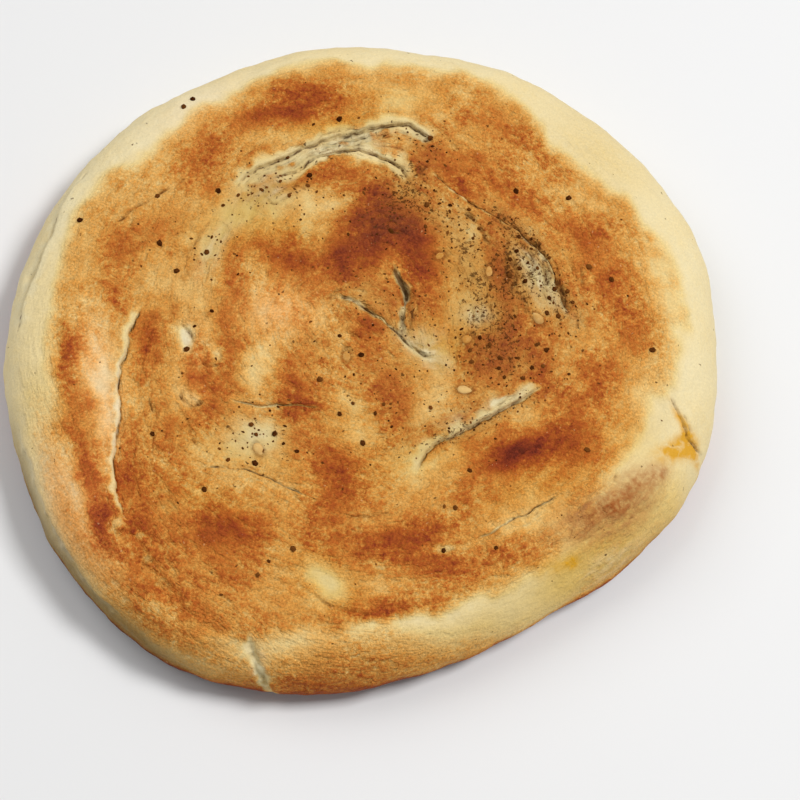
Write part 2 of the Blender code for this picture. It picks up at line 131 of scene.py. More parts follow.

# Finer creases in the skin: path, depth and half width. The depth also sets each one's painted shade.
CREASES = (
    # round the top fold
    (((-11, 46.2), (-5, 47.4), (0, 48.6)), 0.7, 0.4), (((10, 49.5), (12, 48.3), (14, 48.5)), 0.9, 0.5),
    (((-5.5, 46), (-3, 45.6), (-1, 44.9)), 0.5, 0.4), (((0, 46.5), (5, 46), (9, 44)), 0.4, 0.4),
    (((-25, 35), (-22, 30.5), (-17, 34)), 0.4, 0.4), (((-19, 34.5), (-16, 35), (-15, 33)), 0.5, 0.4),
    (((14, 42), (11, 39), (13, 36)), 0.5, 0.4), (((2, 49.5), (6, 49.8), (9, 48.5)), 0.3, 0.4),
    # right of the middle
    (((20, 29.5), (24, 26.5), (27, 21)), 0.7, 0.5), (((39.5, 18), (39.8, 14), (38, 11)), 0.6, 0.4),
    (((47.5, 19), (47.5, 15), (48, 11)), 0.5, 0.35), (((30, 23), (30.5, 17), (29.5, 11)), 0.5, 0.5),
    (((25, 8), (27, 4), (26, -1)), 0.4, 0.4), (((20, 20), (19.5, 14), (20.5, 10)), 0.35, 0.4),
    (((33, 23), (36, 18), (35, 12)), 0.4, 0.4), (((43, 8), (46, 4), (45, 1)), 0.5, 0.4),
    (((16, -27.5), (21, -25), (26, -21.5)), 0.4, 0.35),
    # the dark outer edge of the right fold: partly browner crust, partly these creases' painted shade
    (((20, 33), (26, 30.3), (31, 27)), 0.5, 0.8), (((31, 27.6), (36, 23.5), (40, 18)), 0.7, 0.9),
    (((41, 17), (42.3, 12), (44, 6)), 0.7, 0.9), (((38, 19), (38.5, 14), (40.5, 10)), 0.4, 0.5),
    (((31.5, 19), (32, 14), (31, 9)), 0.6, 0.9), (((33, 10), (34.5, 7), (34, 4)), 0.5, 0.7),
    # middle
    (((3, 26), (5, 24), (8, 23.2)), 0.6, 0.5), (((-6, -1), (-3, -2), (0, -4)), 0.45, 0.4),
    (((-10, 6), (-8, 8.8), (-5, 9.5)), 0.5, 0.4), (((9.5, 7), (9.2, 3), (8.6, -1)), 0.5, 0.4),
    # left of the middle
    (((-42, 0), (-39.5, -2), (-38.5, -5)), 0.7, 0.4),
    (((-40, -14), (-40.6, -17), (-38.5, -19.2), (-35, -18)), 0.6, 0.4),
    (((-40, -21), (-38.5, -25), (-37, -29)), 0.5, 0.35),
    (((-46, -28), (-45, -31), (-43.5, -33)), 0.4, 0.35), (((-37, -8), (-35, -10), (-32, -9)), 0.4, 0.35),
    (((-34, -5), (-32.5, -7), (-33, -10)), 0.35, 0.35), (((-47, -15), (-47.3, -19), (-46, -22)), 0.4, 0.35),
    (((-41, 38), (-46, 33), (-51, 29.5), (-57, 24)), 0.5, 0.4),
    (((-36, 26), (-39, 21), (-41, 15)), 0.35, 0.4), (((-35, 29), (-37, 24), (-39, 20)), 0.3, 0.35),
    # near side
    (((-6, -43.5), (0, -43.5), (5, -42)), 0.5, 0.35), (((-12, -60), (-8, -63), (2, -65)), 0.4, 0.4),
    (((20, -50), (16, -50.5), (12, -49)), 0.4, 0.35),
    (((54, -31), (52, -35), (49, -36), (46, -39)), 0.3, 0.35),
    (((60, -39), (55, -42), (50, -44), (45, -48)), 0.25, 0.35),
    (((44, -44), (42, -47.5), (38, -49)), 0.25, 0.35),
)
CREASE_FADE = 2.0

# Broad rises and hollows of the coils: place, half length, half width, turn in degrees, and height. Then
# small bumps and pits in the same terms.
SWELLS = (
    (0, 2, 44, 42, 0, 0.9), (-62, 10, 34, 9, 95, 0.7), (-8, 60, 40, 8, 0, 0.6), (57, 20, 36, 9, -60, 0.7),
    (34, -29, 16, 9, 30, 0.9), (-28, -48, 20, 11, -15, 0.8), (10, -50, 18, 8, 5, 0.7),
    (-10, -59, 12, 6, 10, -0.9), (-37, 22, 20, 6, 60, -0.8), (-24, -27, 12, 7, 20, -0.7),
    (62, -20, 13, 8, -60, -1.3), (53, -38, 14, 6, 35, 1.1), (46, -54, 14, 7, 40, -0.9),
)
BUMPS = (
    (-6, 48.7, 5, 1.1, 17, -1.2), (8, 8, 1.2, 2.5, 0, -1.4), (-75.5, 12.5, 1.5, 1.2, 0, -1.6),
    (-38, -17, 2.2, 2, 0, 0.5), (57, -36, 3, 2, 40, 0.7), (52, -40, 2.6, 1.8, 20, 0.6),
    (47, -42, 2, 1.6, 0, 0.5), (62, -33, 2.2, 1.6, 30, 0.6),
    # bubbles at the near left
    (-53, -45.5, 1.1, 0.9, 0, 1), (-52, -47.3, 1.2, 0.9, 0, 1), (-48, -48.5, 0.9, 0.9, 0, 0.9),
    (-53.3, -45.2, 0.4, 0.4, 0, -1.3), (-46, -53.5, 0.9, 0.8, 0, 0.9), (-30.5, -70.5, 0.9, 0.8, 0, 0.9),
    (-41, -73, 1.3, 0.8, 30, 0.6), (-36, -71, 1.6, 0.6, 20, 0.5), (-34, -70.3, 1.2, 0.5, 0, 0.4),
    (-76, -29, 1.1, 0.7, 70, 0.5), (-73.5, -36, 1.2, 0.8, 70, 0.5), (-69.5, -43, 1.1, 0.8, 60, 0.6),
    (-65.5, -50.5, 1.2, 0.7, 60, 0.5), (-61.5, -57.5, 1, 0.8, 50, 0.5), (-55, -65, 1.1, 0.8, 30, 0.5),
    (37, 4, 1.8, 1.1, -20, 0.5),
    # lumps of the filling
    (50, -38.5, 1.6, 1, 50, 0.5), (45, -44.5, 1.6, 1, 20, 0.5), (59.5, -37.5, 1.6, 1, 40, 0.5),
    (54, -36, 1, 0.8, 0, -0.5), (49.5, -41, 1, 0.7, 0, -0.5), (57.5, -33.5, 1, 0.8, 0, -0.4),
    (43, -42, 1.1, 0.8, 0, 0.4), (63.5, -30.5, 1.2, 0.9, 30, 0.4), (24, 4, 1.8, 1.4, 0, 0.4),
    (-20, 35, 1.6, 1.2, 60, 0.5), (17, 2, 1.3, 1.6, 0, -0.5), (25, 15, 1.1, 1.1, 0, 0.4),
)

# Unevenness of the dough, as pairs of a bump's size and its height: the first two as in the solid. Then the
# fibrous wrinkles along the coils: their size, how far one runs, their height, and the middle of the coils.
UNEVENNESS = ((24, 0.7), (9, 0.3), (4.6, 0.26), (2.3, 0.12))
WRINKLE_SIZE = 1.9
WRINKLE_RUN = 1.1
WRINKLE_HEIGHT = 0.22
COIL_MIDDLE = (2, 4)

# The mesh: gaps between points on the top, on the side, underneath and along the folds, how far from a fold
# and from a crease its rows of points are, and the number of points round the foot.
TOP_GAP = 0.66
SIDE_GAP = 1.0
FOOT_GAP = 1.8
ROW_GAP = 0.4
FOLD_ROWS = (0, 0.27, 0.55, 0.88, 1.3, 1.8, 2.3)
CREASE_ROWS = (0, 0.28, 0.62)
RIM_POINTS = 520

# Sesame seeds, as in the solid: their size, how dark the painted contact shadow round them is, and each
# one's place and turn in degrees.
SEED_LENGTH = 3.4
SEED_WIDTH = 2.1
SEED_HEIGHT = 1.0
SEED_CONTACT_SHADE = 0.45
SEEDS = (
    (20.5, -14, -5), (-23.8, -28.7, -60), (15.5, 18.5, 20), (26.3, 15, 80), (-5.2, -6.5, 95),
    (21.5, -1.5, 40), (37, 3.5, 130),
)

# How toasted each seed is, from 0 to 1. The more toasted ones have sunk deeper, at most by this much.
SEED_TONES = (0.1, 0.2, 0.9, 0.7, 0.8, 0.9, 0.5)
SEED_SINK = 0.4

# Coarse pepper, as in the solid: places of the largest grains. Then each peppered stretch: its place, half
# length, half width and turn, and the number of grains scattered on it.
LARGE_GRAINS = (
    (-43, 13), (-47, 19.5), (-48, 31.5), (-64.5, 24.5), (-36.5, 18), (-40, -6), (-41, 57.5), (-43, 55),
    (-7.5, 52.5), (13.5, 48.7), (-14, 38), (-34.5, 33.5), (4.5, 24.2), (12.5, 31), (33, 36), (45, 34.5),
    (31, 14), (49, 17), (54, 14), (62.5, -3), (47, -27), (-2, -6.5), (-11, -12.5), (-1.5, -27),
    (-20.5, -25), (-24.5, -32), (-35, -38.5), (-16, -51),
)
PEPPER_STRETCHES = (
    (38, 14, 12, 5, -60, 14), (28, -5, 11, 8, 0, 13), (20, 27, 8, 6, 0, 7), (-23, 35, 12, 6, 35, 7),
    (-24, -27, 9, 6, 0, 4), (0, -12, 22, 10, 0, 5), (0, 0, 66, 66, 0, 10),
)
LARGE_RADIUS = 0.7
PEPPER_RADII = (0.42, 0.62)
PEPPER_SPACING = 2.4
PEPPER_SEED = 5

# Finer grains, more of them where the crust is dusty: radii, how much longer and flatter than round they are,
# how far apart, how many draws are made over what reach, and the share of them that is kept at the dustiest.
FINE_PEPPER_RADII = (0.11, 0.40)
FLAKE_LENGTHS = (0.9, 1.8)
FLAKE_HEIGHT = 0.5
FINE_PEPPER_SPACING = 0.7
FINE_PEPPER_DRAWS = 12000
FINE_PEPPER_SHARE = 0.5
FINE_PEPPER_REACH = 70
FINE_PEPPER_SEED = 11
TONE_SEED = 7

# The browned top: how far the browning reaches from the middle, every 15 degrees, how softly it ends, and how
# brown the top is where no blotch lies.
BROWN_RADII = (
    69, 70.5, 67, 63.0, 68.5, 69, 67, 68, 66.5, 65.5, 70, 69.5,
    69, 69.5, 71, 75, 75.5, 72, 67, 64.5, 64, 64, 62, 65,
)
BROWN_EDGE = 5.0
GOLDEN = 0.28

# Blotches of deeper or paler browning: place, half length, half width, turn, and how much each adds.
BLOTCHES = (
    # far side
    (-14, 59, 11, 4, 5, 0.32), (-26, 53.5, 6, 3, 15, 0.24), (-18, 53, 5, 3, 10, 0.3),
    (-36, 45, 6, 4, 30, 0.24), (-39, 38, 5, 5, 80, 0.2), (28, 53, 9, 4.5, -35, 0.2),
    (34, 50, 6, 3, -60, 0.08), (41, 44, 5, 2.5, -70, 0.2), (17, 43, 8, 5, -40, 0.2),
    (12, 43, 4, 4, 0, 0.12), (30, 37, 8, 5, -35, 0.18), (35, 33, 4, 3, 0, 0.14),
    (-9, 39.5, 9, 2.5, 8, 0.28), (2, 37, 5, 3, -30, 0.1), (-8, 55.5, 5, 2.5, 0, 0.1),
    (-38, 36, 4, 4, 0, 0.08), (-26, 43, 5, 3, 30, 0.12), (-16, 37, 4, 2.5, 20, 0.16),
    # Beside the right fold, (25, 31.5), (18, 39) and (43, 14) are partly browner crust, partly painted shade.
    (9, 40, 3, 4, 0, 0.14), (25, 31.5, 12, 3, -42, 0.16), (18, 39, 5, 3, -45, 0.1),
    (43, 14, 2.5, 6, 15, 0.18),
    # right side
    (47, 26, 6, 6, -30, 0.26), (49, 18, 3, 6, 0, 0.06), (55, 14, 6, 9, 0, 0.26), (58, 2, 6, 7, 30, 0.14),
    (49, -8, 7, 5, 20, 0.23), (45, -17, 5, 5, 45, 0.08), (38, -26, 15, 5.5, 25, 0.34),
    (31, -28, 7, 3, 25, 0.34), (27, -24.5, 5, 2, 20, 0.14), (46, -26, 5, 4, 0, 0.14),
    (38, -11, 4, 4, 0, 0.24), (44, 5, 3, 6, -30, 0.18), (68, 5, 3, 20, 5, -0.16), (63, 17, 3, 7, 0, -0.12),
    (52, -21, 4, 4, 0, -0.08), (51, -13, 3, 4, 0, 0.1),
    # middle
    (28, -4, 10, 7, 0, 0.36), (29, 14, 3, 10, 10, 0.28), (38, 3, 3, 3, 0, 0.1), (26, 26, 3, 6, -30, 0.16),
    (1, 28, 8, 5.5, 0, 0.46), (9.5, 24, 5.5, 4.5, 0, 0.46), (1, 34, 3.5, 3, 0, 0.26),
    (-6.5, 17, 4, 7, 0, 0.44), (0, 20, 4, 5, 0, 0.3), (12, 16, 6, 6, -30, 0.34), (14, 8, 4, 5, 0, 0.18),
    (-17, 15.5, 8, 3.2, -12, 0.36), (-24, 20, 5, 2.5, -10, 0.12), (-30, 12, 3, 8, 5, 0.24),
    (-31, -3, 3, 8, 0, 0.17), (-36.5, -12, 5.5, 6, 0, 0.24), (-34, -19, 4, 4, 0, 0.16),
    (-48, -4, 4, 8, 0, 0.28), (-15.5, -13.5, 5.5, 6, 0, 0.3), (-14, -19, 7, 2, 0, 0.18),
    (4.5, -14.5, 5, 6, 0, 0.32), (0, -1, 4, 5, 0, 0.3), (6, 8, 4, 5, 0, 0.16), (3, 20, 4, 3, 0, 0.14),
    (-18, -8, 4, 3, 0, 0.08), (-14, 1, 5, 8, 0, 0.1), (6, -21, 3, 4, 0, 0.18), (22, -16, 4, 3, 0, 0.12),
    (12, -25, 3, 2, 30, 0.1), (-14, -27, 6, 4, -40, 0.15), (-33, -32, 6, 4, 0, -0.08),
    (-20, -20, 5, 3, 0, 0.08), (-7, -34, 7, 8, 10, 0.38), (-9, -43, 5, 3, 0, 0.14),
    (-43, -26, 3, 6, 10, 0.24),
    # left side
    (-56, 17, 4, 6, 10, 0.22), (-50, 22, 8, 4, 20, 0.2), (-55, 7, 3.5, 5, 0, 0.16),
    (-66, -5, 3, 5, 20, 0.28), (-65, -14, 2.5, 7, 15, 0.26), (-62.5, -26, 2.5, 6, 15, 0.2),
    (-40, -37, 4, 4, 0, 0.14), (-59, -35, 3, 7, 10, 0.36), (-57, -45, 3, 5, 30, 0.38),
    (-51, -31, 3.5, 7, 5, 0.2), (-49, -46, 4, 8, 0, 0.26), (-52, -37, 3, 3, 0, 0.14),
    (-43, -54, 5, 4, 0, 0.14), (-53, -57, 6, 3, -45, 0.22), (-43, -65, 12, 4, -35, 0.26),
    # near side
    (-30, -48, 11, 5.5, 0, 0.36), (-29, -57, 9, 4, -10, 0.24), (-20, -66, 9, 2, -5, 0.12),
    (7, -48, 9, 4, 0, 0.38), (-8, -48, 7, 3, 0, 0.2), (14, -54, 9, 3, 0, 0.26), (0, -53, 6, 3, 0, 0.14),
    (-12, -52, 4, 2.5, 0, 0.1), (27, -51, 8, 3, 10, 0.19), (14, -45, 5, 2.5, 10, 0.12),
    (8, -63, 14, 3, 6, 0.28),
    # bubbles that stayed pale
    (-52.7, -46.2, 1.7, 1.5, 0, -0.4), (-48, -48.5, 1, 1.1, 0, -0.3), (-46, -53.5, 1, 0.9, 0, -0.25),
    (-30.5, -70.5, 1, 0.8, 0, -0.3),
    # small darker and paler spots between them
    (14, -3, 5, 4, -30, -0.1), (3, 9, 6, 3, -20, 0.06), (0, 1, 7, 2, -35, 0.06), (11, 11, 2.5, 4, 0, 0.05),
    (-18, 6, 7, 5, 0, 0.07), (-54, -47, 5, 3, 0, 0.1), (24, -1, 4, 3, 0, -0.08), (47, -43, 3, 2, 0, -0.08),
    (3, -64, 8, 2.5, 0, -0.06), (-17, 54, 4, 3, 0, 0.06), (60, 2, 4, 6, 0, 0.05), (-64, -8, 3, 5, 0, 0.06),
    (44, 42, 3, 2, -30, -0.05), (-48, 12, 5, 5, 0, -0.05), (-60, 28, 4, 4, 0, -0.05),
    (8, -12, 4, 3, 0, -0.06), (17, -29, 4, 2, 0, -0.05), (-28, 56, 2, 3, 0, -0.1), (-4, 60, 3, 4, 0, -0.1),
    (-43, 36, 4, 3, 40, -0.1), (-52, 23, 3, 3, 0, -0.1), (-57, 17, 3, 3, 0, -0.12),
    (-66, -2, 2, 4, 0, -0.14), (-61, -8, 3, 6, 0, -0.1), (-58, -35, 3, 3, 0, -0.12),
    (-55, -52, 4, 3, 40, -0.12), (-33, -56, 8, 3, -5, -0.18), (-11, -31, 3, 4, 0, -0.12),
    (-15, -36, 3, 3, 0, -0.1), (-3, -36, 2, 3, 0, -0.1), (-4, -47, 3, 2, 0, -0.1),
    (-17, -48, 3, 6, 0, -0.1), (5, -16, 3, 5, 0, -0.14), (13, -18, 4, 3, 0, -0.1),
    (-23, -12, 3, 3, 0, -0.14), (-20, 5, 4, 4, 0, -0.1), (44, 10, 2, 3, 0, -0.12), (34, 0, 2, 3, 0, -0.1),
    (44, -9, 2.5, 4, 0, -0.12), (44, -43, 7, 2.5, 20, -0.12), (60, -14, 3, 8, 10, -0.1),
    (52, -25, 4, 3, 0, -0.1), (13, 25, 4, 3, -30, -0.12), (-6, 30, 4, 3, 20, -0.12),
    (29, 29, 4, 2.5, 0, -0.1), (48, 33, 6, 4, -30, -0.08), (-10, -62, 4, 6, 0, -0.08),
    (10, 51, 6, 3, 0, 0.12), (6, 56, 3, 3, 0, 0.08), (8, 41, 3, 3, 0, 0.12), (14, 33, 3, 4, 0, 0.12),
    (-18, 22, 3, 4, -20, 0.12), (1, 14, 2, 6, 0, 0.12), (35, 15, 5, 4, 0, 0.12), (38, -4, 2.5, 4, 0, 0.14),
    (35, -13, 5, 2, 0, 0.12), (-30, -9, 2, 5, 0, 0.12), (-34, -22, 5, 4, 0, 0.12), (21, -38, 5, 3, 0, 0.12),
    (17, -44, 6, 3, 0, 0.1), (-59, -21, 3, 3, 0, 0.12), (-50, 2, 4, 2, 0, 0.08), (-30, 26, 6, 4, 60, 0.08),
    (20, -64, 12, 2, 8, 0.06), (1, -66, 10, 3, 0, 0.1), (-8, -14, 4, 2.5, 0, 0.08),
    (-46, -48, 5, 3, 0, 0.1), (-63, -18, 3, 6, 10, -0.14), (-62, -25, 2, 3, 10, -0.12),
    (-52, -50, 3, 3, 40, -0.16), (-45, -60, 5, 2.5, -40, -0.16), (-34, 16, 4, 3, 60, -0.12),
    (-38, 24, 4, 3, 0, -0.1), (-20, 48, 4, 3, 0, -0.12), (8, 58, 4, 5, 0, -0.1), (27, 55, 3, 6, 0, -0.12),
    (3, 48, 3, 2, 0, -0.1), (15, 41, 3, 5, 30, -0.12), (22, 32, 3, 3, 0, -0.12), (45, 4, 2.5, 4, 0, -0.12),
    (55, 3, 3, 3, 0, -0.08), (33, -7, 3, 3, 0, -0.12), (38, -24, 3, 3, 0, -0.12), (57, 17, 4, 4, 0, -0.08),
    (-12, -10, 3, 3, 0, -0.14), (18, 4, 3, 3, 0, -0.1), (-35, -62, 5, 6, 0, 0.14), (-47, -34, 3, 3, 0, 0.1),
    (-54, -40, 2, 4, 0, 0.12), (29, -32, 3, 3, 0, 0.12), (-1, -7, 2, 4, 20, 0.12),
    (-8, 36, 4, 2.5, 0, 0.14), (25, 44, 4, 3, 0, 0.12), (21, -57, 3, 5, 0, 0.1), (5, -65, 8, 2, 0, 0.1),
    (-8, -14, 3, 2, 0, 0.1),
    # pale
    (-29, 27, 8, 4, 60, -0.16), (-22, 30, 10, 4, 10, -0.12), (-10, 31, 6, 3, 0, -0.12),
    (-14, 25, 3, 4, 0, -0.1), (-26, 9, 3, 4, 0, -0.1), (-22, -6, 4, 4, 0, -0.14),
    (-9, -58, 6, 2.5, -45, -0.26), (-24, -25, 7, 5, 0, -0.22), (28, -61, 18, 4, 15, -0.14),
    (20, 12, 4, 8, 0, -0.08), (-5, -17, 4, 3, 0, -0.14), (-3, -25, 4, 4, 0, -0.14),
    (9, -32, 5, 4, 0, -0.14), (-42, -13, 2.5, 6, 0, -0.14), (62, -20, 4, 8, -20, -0.16),
    (37, -41, 6, 2.5, 30, -0.14), (17, -51, 4, 1.4, -5, -0.34), (-57, -18, 2.5, 12, 0, -0.12),
    (5, 58, 8, 4, 0, -0.08), (16, -6, 4, 4, 0, -0.16), (-40.5, -4, 1.3, 3.5, 10, -0.45),
    (-33, -7, 1.5, 2.5, 20, -0.25), (-38, -17, 2.2, 2, 0, -0.18), (-34, 22, 3, 8, -25, -0.1),
    (-12, 3, 6, 5, 0, -0.06), (-60, -20, 2, 5, 10, 0.14), (23, 25, 3, 4, -20, -0.18),
    (24, 3.5, 3, 3, 0, -0.22), (37, 14, 7, 3.5, -60, -0.24),
)

# Browning of the pale rim and the side, in the same terms.
RIM_BLOTCHES = (
    (0, -75, 32, 4.5, 3, 0.32), (50, -43, 16, 8, 38, 0.14), (10, -69, 40, 3, 8, 0.08),
    (55, -57, 20, 6, 38, 0.17), (70, -38, 9, 9, 0, 0.02), (30, -71, 20, 3.5, 18, 0.09),
    (-6, -72, 5, 3, 0, 0.08), (-11, -83, 30, 5, 0, 0.4), (-72, 0, 5, 24, 0, 0.04),
    (-66, -33, 16, 4, -72, 0.22), (60, -41, 14, 6, 45, 0.03), (-58, -51, 14, 4.5, -52, 0.26),
    (-46, -65, 13, 5, -38, 0.3), (48, 50, 9, 18, 42, 0.05), (64, -49, 9, 5, 52, 0.05),
    (-25, 70, 25, 4, 12, 0.03), (-72, -56, 20, 4, -53, 0.16), (-57, -75, 22, 5, -36, 0.6),
    (-5, -81, 30, 4, 0, 0.08), (-36, -70, 9, 4, -15, 0.24), (-6, -69, 14, 2, 0, 0.08),
    (44, -66, 9, 4, 30, -0.1), (55, -63, 9, 4, 35, 0.1),
)


def catmull_rom(before, start, end, after, t):
    """The point at share t of the way from start to end, on a smooth curve through all four."""
    bend = 2 * before - 5 * start + 4 * end - after
    twist = -before + 3 * start - 3 * end + after
    return 0.5 * (2 * start + (end - before) * t + bend * t**2 + twist * t**3)


def smooth_step(share):
    """0 below 0, 1 above 1, and a smooth rise between."""
    t = np.clip(share, 0, 1)
    return t * t * (3 - 2 * t)


def quarter_arc(run, rise):
    """The length of a quarter ellipse, near enough."""
    return math.pi / 2 * math.sqrt((run * run + rise * rise) / 2)


SHOULDER_ARC = quarter_arc(SHOULDER_RUN, TOP_Z - WAIST_Z)
FOOT_ARC = quarter_arc(FOOT_RUN, WAIST_Z)


def round_curve(radii, angle):
    """The radius at each angle of a smooth closed curve through evenly turned radii."""
    radii = np.array(radii, dtype=float)
    count = len(radii)
    place = np.mod(angle, 2 * math.pi) / (2 * math.pi) * count
    first = np.floor(place).astype(int)
    around = [radii[(first + shift) % count] for shift in (-1, 0, 1, 2)]
    return catmull_rom(*around, place - first)


def angle_of(places):
    """Each place's direction from the middle."""
    return np.arctan2(places[:, 1], places[:, 0])


def unrolled_rim(angle):
    """How far the crust runs from the middle of the top to the edge of the foot, at each angle."""
    return round_curve(OUTLINE_RADII, angle) - SHOULDER_RUN + SHOULDER_ARC + FOOT_ARC


def plain_crust(places):
    """The point and the outward normal of the crust without its relief, at each unrolled place."""
    angle = angle_of(places)
    along = np.hypot(*places.T)
    flat = round_curve(OUTLINE_RADII, angle) - SHOULDER_RUN
    shoulder = np.clip((along - flat) / SHOULDER_ARC, 0, 1) * math.pi / 2
    foot = np.clip((along - flat - SHOULDER_ARC) / FOOT_ARC, 0, 1) * math.pi / 2
    radius = np.minimum(along, flat) + SHOULDER_RUN * np.sin(shoulder) - FOOT_RUN * (1 - np.cos(foot))
    z = WAIST_Z + (TOP_Z - WAIST_Z) * np.cos(shoulder) - WAIST_Z * np.sin(foot)
    out = np.where(foot > 0, WAIST_Z * np.cos(foot), (TOP_Z - WAIST_Z) * np.sin(shoulder))
    up = np.where(foot > 0, -FOOT_RUN * np.sin(foot), SHOULDER_RUN * np.cos(shoulder))
    size = np.hypot(out, up)
    point = np.stack([radius * np.cos(angle), radius * np.sin(angle), z], axis=1)
    normal = np.stack([out * np.cos(angle), out * np.sin(angle), up], axis=1) / size[:, None]
    return point, normal


def smooth_path(path, step=0.3):
    """Points about a step apart on a smooth curve through the places of a path."""
    places = np.array(path, dtype=float)
    padded = np.vstack([2 * places[0] - places[1], places, 2 * places[-1] - places[-2]])
    stretches = []
    for before, start, end, after in zip(padded, padded[1:], padded[2:], padded[3:]):
        count = max(2, round(np.linalg.norm(end - start) / step))
        share = np.arange(count)[:, None] / count
        stretches.append(catmull_rom(before, start, end, after, share))
    return np.vstack(stretches + [places[-1:]])


def fold_line(path, step=0.3):
    """A path as torn dough takes it: wandering a little to both sides."""
    line = smooth_path(path, step)
    left = left_of(line)
    for size, sway in WANDER:
        line = line + left * (sway * rough(line, size, 40))[:, None]
    return line


def strand_path(name, offset, first, last):
    """The part of a fold's path between two shares of its way, set off to its left."""
    line = smooth_path(FOLDS[name].path, 2.0)
    line = line + left_of(line) * offset
    return line[int(first * len(line)):max(int(last * len(line)), 3)]


def left_of(line):
    """The unit vectors to the left of a line of points."""
    forward = np.gradient(line, axis=0)
    forward /= np.linalg.norm(forward, axis=1)[:, None]
    return np.stack([-forward[:, 1], forward[:, 0]], axis=1)


def all_creases():
    """Every crease, and every thin line beside a fold, as a path, a depth and a half width."""
    strands = [(strand_path(*strand), STRAND_DEPTH, STRAND_WIDTH) for strand in STRANDS]
    return list(CREASES) + strands


def beside(path, places, reach):
    """The places within reach of a path: which they are, their distance from it (positive on its left), how
    far along it they are, its length, and its left at each of them."""
    line = fold_line(path)
    low = line.min(axis=0) - reach
    high = line.max(axis=0) + reach
    which = np.nonzero(((places > low) & (places < high)).all(axis=1))[0]
    lengths = np.linalg.norm(np.diff(line, axis=0), axis=1)
    along = np.concatenate([[0], np.cumsum(lengths)])
    left = left_of(line)
    gaps = places[which][:, None, :] - line[None, :, :]
    nearest = np.argmin((gaps**2).sum(axis=2), axis=1)
    gap = gaps[np.arange(len(which)), nearest]
    side = np.where((gap * left[nearest]).sum(axis=1) < 0, -1, 1)
    return which, np.linalg.norm(gap, axis=1) * side, along[nearest], along[-1], left[nearest]


def ellipse(places, x, y, long, wide, turn):
    """1 at the middle of a soft ellipse, falling off to 0 round it."""
    dx, dy = (places - (x, y)).T
    turn = math.radians(turn)
    lengthways = (dx * math.cos(turn) + dy * math.sin(turn)) / long
    across = (dy * math.cos(turn) - dx * math.sin(turn)) / wide
    return np.exp(-(lengthways**2) - across**2)


def rough(places, size, seed=0.0):
    """Smooth noise with bumps of a size, between about -1 and 1."""
    return np.array([noise.noise(Vector((x / size, y / size, size + seed))) for x, y in places])


def fold_ends(along, length, fade):
    """1 along a fold, falling to 0 at both its ends."""
    return smooth_step(along / fade) * smooth_step((length - along) / fade)


def ragged(places, size=3.5):
    """How strong a fold is at each place: it comes and goes along its way."""
    return np.clip(0.8 + 1.1 * rough(places, size, 50) + 0.5 * rough(places, size / 3, 51), 0.08, 1.4)


def flow_at(places):
    """The way that the dough runs at each place: round the middle of the coil, and along any near fold."""
    x, y = (places - COIL_MIDDLE).T
    flow = np.stack([-y, x], axis=1) / (np.hypot(x, y) + 1)[:, None]
    for fold in FOLDS.values():
        which, distance, along, length, left = beside(fold.path, places, 12)
        forward = np.stack([left[:, 1], -left[:, 0]], axis=1)
        same_way = np.sign((forward * flow[which]).sum(axis=1))
        flow[which] += forward * (2 * same_way * np.exp(-(distance / 5) ** 2))[:, None]
    return flow / (np.linalg.norm(flow, axis=1) + 0.01)[:, None]


def wrinkles(places):
    """Fine ridges drawn out along the flow of the dough, between about -1 and 1."""
    flow = flow_at(places)
    steps = (-1, -0.5, 0, 0.5, 1)
    return sum(rough(places + flow * WRINKLE_RUN * step, WRINKLE_SIZE, 60) for step in steps) / 3


def relief(places):
    """How far the crust stands out from the plain form, and how far it shifts sideways, at each place."""
    height = np.zeros(len(places))
    shift = np.zeros((len(places), 2))
    for fold in FOLDS.values():
        which, distance, along, length, left = beside(fold.path, places, 3 * fold.reach)
        ends = fold_ends(along, length, FOLD_FADE)
        away = np.abs(distance)
        cut = np.exp(-(away / fold.width) ** 2)
        depth = ragged(places[which])
        on_lip = distance * fold.side > 0
        lip = np.where(on_lip, 1, -LOW_SIDE) * (1 - cut) * np.exp(-away / fold.reach)
        height[which] += ends * (fold.lip * lip - fold.cut * depth * cut)
        lean = np.where(on_lip, (1 - cut) * np.exp(-away / 1.5), 0)
        shift[which] -= left * (ends * depth * lean * fold.overhang * fold.side)[:, None]
    for path, depth, width in all_creases():
        which, distance, along, length, left = beside(path, places, 4)
        ends = fold_ends(along, length, CREASE_FADE) * ragged(places[which], 2)
        banks = 0.4 * np.exp(-np.abs(distance) / 1.5)
        cut = 1.4 * np.exp(-(distance / width) ** 2)
        height[which] += depth * ends * (banks - cut)
    for x, y, long, wide, turn, rise in SWELLS + BUMPS:
        height += rise * ellipse(places, x, y, long, wide, turn)
    for size, rise in UNEVENNESS:
        height += rise * rough(places, size)
    browned = reach_of_browning(places, BROWN_RADII, 12)
    height += WRINKLE_HEIGHT * (0.3 + 0.7 * browned) * wrinkles(places)
    fade = smooth_step((unrolled_rim(angle_of(places)) - np.hypot(*places.T)) / FOOT_FADE)
    return height * fade, shift * fade[:, None]


def crust_surface(places):
    """The finished crust's points, in millimetres."""
    height, shift = relief(places)
    point, normal = plain_crust(places + shift)
    return point + normal * height[:, None]


def thin_out(places, gap):
    """Take the places in turn, and keep each one that has no kept place nearer than the gap."""
    cells = {}
    kept = []
    for x, y in places:
        column = int(x // gap)
        row = int(y // gap)
        around = [cells.get((column + i, row + j), ()) for i in (-1, 0, 1) for j in (-1, 0, 1)]
        if all((x - a) ** 2 + (y - b) ** 2 >= gap * gap for group in around for a, b in group):
            cells.setdefault((column, row), []).append((x, y))
            kept.append((x, y))
    return np.array(kept)


def hexagon_grid(reach, gap):
    """Places a gap apart in rows set off by half a gap."""
    rows = np.arange(-reach, reach, gap * math.sqrt(3) / 2)
    columns = np.arange(-reach, reach, gap)
    return np.array([(x + gap / 2 * (i % 2), y) for i, y in enumerate(rows) for x in columns])


